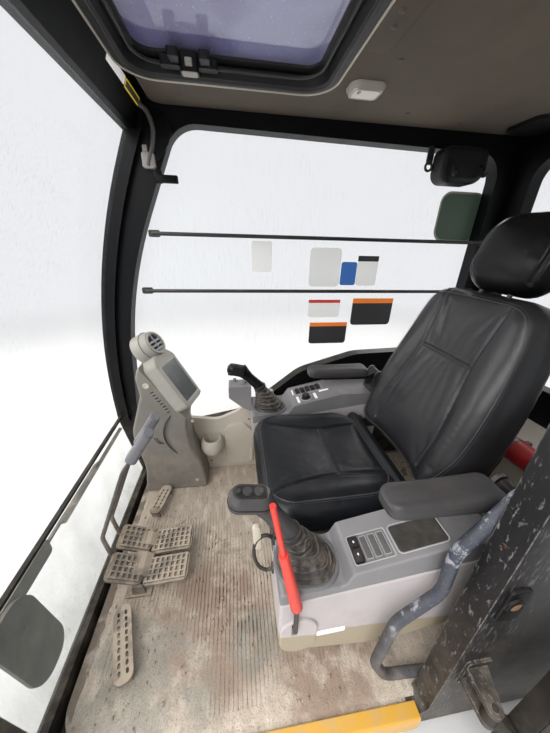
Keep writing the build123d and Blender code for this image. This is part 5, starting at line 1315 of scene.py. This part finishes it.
badge_plane = moved(window_plane, 0.650, 1.300)
badge_border = Shape().slab(badge_plane, rounded(0.205, 0.190, 0.045, 8), 0.0001, 0.0010, 0.0002)
badge_border.piece("window_badge_border", "bead", "cab", slot="glass_clear")
badge = Shape().slab(badge_plane, rounded(0.190, 0.175, 0.040, 8), 0.0008, 0.0016, 0.0002)
badge.piece("window_badge", "label_green", "cab", slot="glass_clear")

# %% [markdown]
# ## Hooks and brackets
# A steel eye hangs from the rail over the window, and two coat hooks stand on the housing behind it. Both
# are bent bars, so a tube along a line makes them.
# %% Hooks
eye = Shape()
eye.slab(side_plane(PILLAR_FACE, 0.424, 1.493), rounded(0.026, 0.058, 0.010), 0.0, 0.004, 0.001)
eye.rim(side_plane(PILLAR_FACE + 0.003, 0.424, 1.458), circle(0.013), 0.0045, sides=10)
eye.piece("roof_eye", "steel_dark", "cab")
hook_line = [(-0.380, 1.455), (-0.366, 1.452), (-0.360, 1.438), (-0.362, 1.424), (-0.352, 1.420),
             (-0.344, 1.430)]
coat_hooks = Shape()
for y in (0.470, 0.590):
    coat_hooks.tube(smooth_line([(x, y, z) for x, z in hook_line], 0.004), 0.0052, 10)
coat_hooks.piece("coat_hooks", "plastic_black", "cab")

# %% [markdown]
# Behind the seat a small red extinguisher lies across the front of the rear shelf, in two clamps. It is one
# profile spun round its axis, with a rolled foot, a shoulder, a neck and a two-part squeeze handle.
# %% Extinguisher
CAN_RADIUS, CAN_PAINTED = 0.041, 0.0398
CAN_X, CAN_Z = 0.192, 0.528
NECK_HEIGHT = 0.173
can_plane = plane((CAN_X, 0.6505, CAN_Z), (0, 1, 0), (-1, 0, 0))
can = Shape()
can.turned(can_plane, [(0.024, -0.004), (0.034, -0.001), (CAN_RADIUS, 0.007), (CAN_RADIUS, 0.014),
                       (CAN_PAINTED, 0.016), (CAN_PAINTED, 0.072), (CAN_RADIUS, 0.074), (CAN_RADIUS, 0.140),
                       (0.038, 0.154), (0.029, 0.166), (0.016, NECK_HEIGHT)], 40)
can.piece("shelf_can", "red_can", "cab", slot="lever_red")
valve = Shape()
valve.turned(moved(can_plane, 0, 0, NECK_HEIGHT),
             [(0.0155, -0.002), (0.0155, 0.008), (0.011, 0.010), (0.011, 0.022), (0.007, 0.024)], 20)
valve.slab(moved(can_plane, 0.010, 0, 0.199), rounded(0.052, 0.014, 0.004), -0.004, 0.001, 0.001)
valve.slab(tipped(moved(can_plane, 0.014, 0, 0.209), 0.2), rounded(0.058, 0.014, 0.004), -0.003, 0.001, 0.001)
valve.piece("shelf_can_valve", "steel_dark", "cab")
clamps = Shape()
for along in (0.030, 0.118):
    clamps.turned(moved(can_plane, 0, 0, along), [
        (CAN_RADIUS + 0.0002, -0.007), (CAN_RADIUS + 0.0016, -0.0068), (CAN_RADIUS + 0.0016, 0.0068),
        (CAN_RADIUS + 0.0002, 0.007)], 40)
    foot = plane((CAN_X - along, 0.694, CAN_Z), (1, 0, 0), (0, -1, 0))
    clamps.slab(foot, rounded(0.020, 0.050, 0.004), -0.014, 0.003)
clamps.piece("shelf_can_clamps", "guide", "cab", slot="steel_dark")

# %% [markdown]
# The lug with the rusty bush is a plate welded on the pillar's outer face, with a turned ring on it. The
# bore is a shallow cone of its own, so that it can have its own rust.
# %% Catch bush
OUTER_FACE = 0.502
post_plane = side_plane(OUTER_FACE)
bush_plane = moved(post_plane, 0.172, 0.580)
bush = Shape().slab(moved(post_plane, 0.176, 0.572), rounded(0.050, 0.096, 0.012), 0, 0.0055, 0.0015)
bush.turned(bush_plane, [(0.019, 0), (0.0185, 0.009), (0.0165, 0.0105), (0.0125, 0.0105), (0.012, 0.008)], 28)
bush.piece("catch_bush", "frame_black", "cab")
bore = Shape().turned(bush_plane, [(0.0122, 0.0092), (0.009, 0.0068), (0.004, 0.0062)])
bore.piece("catch_bush_bore", "rust", "cab", slot="steel_dark")

# %% [markdown]
# ## Outside fixings
# The skins are held by rows of domed screws, low down where the real ones meet the floor frame and up the
# rear corners. A thin seam of sealant runs above each row, and rubber plugs close the lifting holes in the
# roof, whose height is found by a ray from above.
# %% Outside fixings
RIGHT_SKIN, REAR_SKIN = -0.5045, 0.862
SCREW_ROW, SEAM_ROW = 0.052, 0.082
UPPER_PANE_STEP, UPPER_FROM = 0.0025, 0.66
corner_heights = np.arange(0.20, 1.60, 0.23)
right_rows = [(y, SCREW_ROW) for y in np.arange(-0.82, 0.84, 0.205)] + [(0.836, z) for z in corner_heights]
rear_rows = [(x, SCREW_ROW) for x in np.arange(-0.40, 0.41, 0.20)]
rear_rows += [(side * 0.425, z) for side in (-1, 1) for z in corner_heights]
places = []
for y, z in right_rows:
    skin = RIGHT_SKIN + (UPPER_PANE_STEP if z > UPPER_FROM else 0)
    places.append(plane((skin, y, z), (0, 1, 0), (-1, 0, 0)))
for x, z in rear_rows:
    places.append(plane((x, REAR_SKIN, z), (1, 0, 0), (0, 1, 0)))
skin_screws = Shape()
skin_screws.screws(places, 0.0075, 0.003)
skin_screws.piece("skin_screws", "screw", "cab", slot="steel_dark")
seams = Shape()
for line in ([(RIGHT_SKIN, y, SEAM_ROW) for y in np.linspace(-0.858, 0.852, 9)],
             [(x, REAR_SKIN, SEAM_ROW) for x in np.linspace(-0.440, 0.440, 7)]):
    seams.tube(smooth_line(line, 0.05), 0.0014, 6)
seams.piece("skin_seams", "rubber_trim", "cab", slot="rubber_black")
roof_plugs = Shape()
plug_profile = [(0.022, -0.001), (0.0215, 0.002), (0.018, 0.0035), (0.017, 0.0022), (0.008, 0.0018)]
graph = bpy.context.evaluated_depsgraph_get()
for x, y in ((-0.36, 0.24), (0.36, 0.24), (-0.36, 0.72), (0.36, 0.72)):
    roof_spot = scene.ray_cast(graph, Vector((x, y, 2.0)), Vector((0, 0, -1)))[1]
    roof_plugs.turned(top_plane(*roof_spot), plug_profile, 28)
    print("roof at %.2f %.2f: %.4f" % (x, y, roof_spot.z))
roof_plugs.piece("roof_plugs", "rubber_trim", "cab", slot="rubber_black")

# %% [markdown]
# ## Dirt on the mat
# Dry earth has filled the grooves and covers the ribs in places. It is a thin rough skin of its own, kept
# only where it stands above the grooves' floor. Its height is a sum of noises, with more of it in front and
# at the sill, and it falls away at the mat's border.
# %% Dirt on the mat
GROOVE_FLOOR, RIB_TOP = 0.077, 0.080
STEP = 0.0056
columns = np.arange(-0.438, 0.476, STEP)
rows = np.arange(-0.766, 0.790, STEP)


def earth_height(x, y):
    """Height of the dirt's skin over the cab's floor."""
    broad = field.noise(Vector((x * 3.1, y * 3.1, 3.7))) + 0.5 * field.noise(Vector((x * 8.7, y * 8.7, 1.2)))
    fine = field.noise(Vector((x * 46, y * 46, 0.5))) + 0.6 * field.noise(Vector((x * 130, y * 130, 2.5)))
    forward = 0.45 * math.exp(-((y + 0.66) / 0.16) ** 2) + 0.35 * math.exp(-((x - 0.40) / 0.06) ** 2)
    border = min(x + 0.438, 0.470 - x, y + 0.766, 0.786 - y) / 0.012
    return GROOVE_FLOOR + 0.0016 + 0.0036 * (broad + forward) + 0.0013 * fine - 0.004 * max(0.0, 1 - border)


heights = np.array([[earth_height(x, y) for x in columns] for y in rows])
wide = len(columns)
earth = Shape()
for j in range(len(rows) - 1):
    for i in range(wide - 1):
        if heights[j:j + 2, i:i + 2].max() > GROOVE_FLOOR + 0.0002:
            corner = j * wide + i
            earth.faces.append((corner, corner + 1, corner + wide + 1, corner + wide))
used = sorted({index for face in earth.faces for index in face})
for index in used:
    j, i = divmod(index, wide)
    earth.points.append(Vector((columns[i], rows[j], min(heights[j, i], RIB_TOP + 0.0022))))
place_of = {index: place for place, index in enumerate(used)}
earth.faces = [tuple(place_of[index] for index in face) for face in earth.faces]
earth.piece("mat_earth", "earth", "cab", slot="mat")
print("earth faces:", len(earth.faces))

# %% [markdown]
# Some hundreds of crumbs lie on the earth. Each is dropped from above at a chance spot and kept where it
# meets the mat, so none hangs over a pedal. The chance is seeded, so every run strews the same crumbs.
# %% Crumbs
chance = np.random.RandomState(11)
crumbs = Shape()
graph = bpy.context.evaluated_depsgraph_get()
CRUMB_TRIES = 2600
CRUMB_PROFILE = ((0.35, -0.8), (0.95, -0.2), (0.85, 0.45), (0.3, 0.85))
for _ in range(CRUMB_TRIES):
    x, y = chance.uniform(-0.43, 0.47), chance.uniform(-0.76, 0.40)
    size = 0.0012 + 0.0034 * chance.uniform() ** 4
    turn = Matrix.Rotation(chance.uniform(0, 6.28), 4, "Z") @ Matrix.Rotation(chance.uniform(0, 1.2), 4, "X")
    stretch = chance.uniform(0.7, 1.35, 3)
    if field.noise(Vector((x * 6, y * 6, 9))) + 0.5 * chance.uniform() < 0.12:
        continue
    hit, spot, _, _, met, _ = scene.ray_cast(graph, Vector((x, y, 0.22)), Vector((0, 0, -1)))
    if not hit or met.name not in ("floor_mat", "mat_earth") or spot.z < GROOVE_FLOOR - 0.001:
        continue
    middle = spot + Vector((0, 0, size * 0.55))
    rings = []
    for radius, height in CRUMB_PROFILE:
        outline = [(a * stretch[0], b * stretch[1]) for a, b in circle(radius * size, 5)]
        rings.append([middle + turn @ Vector((a, b, height * size * stretch[2])) for a, b in outline])
    crumbs.loft(rings)
crumbs.piece("mat_crumbs", "earth", "cab", slot="mat", smooth=False)
print("crumb faces:", len(crumbs.faces))

# %% [markdown]
# ## Floor and light
# Soft lamps light the cab from the front, the back and above. A pale floor fades to white with its distance,
# and a white surrounding closes the scene. The white is shown to the camera, to reflections and through
# glass only, so it adds no light to the cab.
# %% Lamps


def add_light(name, place, target, size, power):
    lamp = bpy.data.lights.new(name, "AREA")
    lamp.shape = "RECTANGLE"
    lamp.size, lamp.size_y = size
    lamp.energy = power
    lamp_object = bpy.data.objects.new(name, lamp)
    lamp_object.location = place
    lamp_object.visible_camera = False
    lamp_object.rotation_euler = (Vector(target) - Vector(place)).to_track_quat("-Z", "Y").to_euler()
    scene.collection.objects.link(lamp_object)


add_light("key", (2.6, -2.2, 3.2), (0, -0.1, 0.7), (2.6, 2.6), 150)
add_light("front", (-1.2, -3.6, 2.4), (0, 0, 0.8), (3.0, 2.0), 90)
add_light("back", (-2.8, 2.6, 2.8), (0, 0, 0.8), (2.6, 2.0), 80)
add_light("top", (0.2, -0.4, 4.2), (0, 0, 0.5), (3.0, 3.0), 70)

# %% [markdown]
# The world has one strength for light and a higher one for what is seen. The floor is a finish like the
# others, mixed with a plain white where it is far away and seen by a ray that isn't part of the lighting.
# %% World and floor
SKY_COLOUR = (0.96, 0.97, 1.0, 1.0)
SKY_LIGHT = 0.75
world = bpy.data.worlds.new("world")
scene.world = world
world.use_nodes = True
world_nodes, world_links = world.node_tree.nodes, world.node_tree.links
light_path = world_nodes.new("ShaderNodeLightPath")
background = world_nodes["Background"]
seen = world_nodes.new("ShaderNodeMath")
seen.operation = "MAXIMUM"
world_links.new(light_path.outputs["Is Camera Ray"], seen.inputs[0])
world_links.new(light_path.outputs["Is Transmission Ray"], seen.inputs[1])
strength = world_nodes.new("ShaderNodeMapRange")
world_links.new(seen.outputs[0], strength.inputs[0])
strength.inputs["To Min"].default_value = SKY_LIGHT
strength.inputs["To Max"].default_value = 1.0
world_links.new(strength.outputs[0], background.inputs["Strength"])
background.inputs["Color"].default_value = SKY_COLOUR

FLOOR_REACH = 30
floor_mesh = bpy.data.meshes.new("studio_floor")
floor_corners = [(x * FLOOR_REACH, y * FLOOR_REACH, 0) for x, y in ((-1, -1), (1, -1), (1, 1), (-1, 1))]
floor_mesh.from_pydata(floor_corners, [], [(0, 1, 2, 3)])
floor = bpy.data.objects.new("studio_floor", floor_mesh)
scene.collection.objects.link(floor)
floor_finish = Finish("studio_floor", base_color=(0.78, 0.77, 0.75), roughness=0.9)
spot = floor_finish.node("ShaderNodeTexCoord", out=3)
far = floor_finish.node("ShaderNodeVectorMath", {"operation": "LENGTH"}, {0: spot}, out=1).ramp(2.2, 6.5)
seen_ray = floor_finish.node("ShaderNodeLightPath", out="Is Camera Ray")
for ray_kind in ("Is Glossy Ray", "Is Transmission Ray"):
    seen_ray = seen_ray + floor_finish.node("ShaderNodeLightPath", out=ray_kind)
floor_nodes, floor_links = floor_finish.tree.nodes, floor_finish.tree.links
white = floor_nodes.new("ShaderNodeEmission")
white.inputs["Color"].default_value = SKY_COLOUR
faded = floor_nodes.new("ShaderNodeMixShader")
floor_links.new((far * seen_ray).clamp().socket, faded.inputs[0])
floor_links.new(floor_finish.shader.outputs[0], faded.inputs[1])
floor_links.new(white.outputs[0], faded.inputs[2])
floor_links.new(faded.outputs[0], floor_nodes["Material Output"].inputs["Surface"])
floor_mesh.materials.append(floor_finish.material)
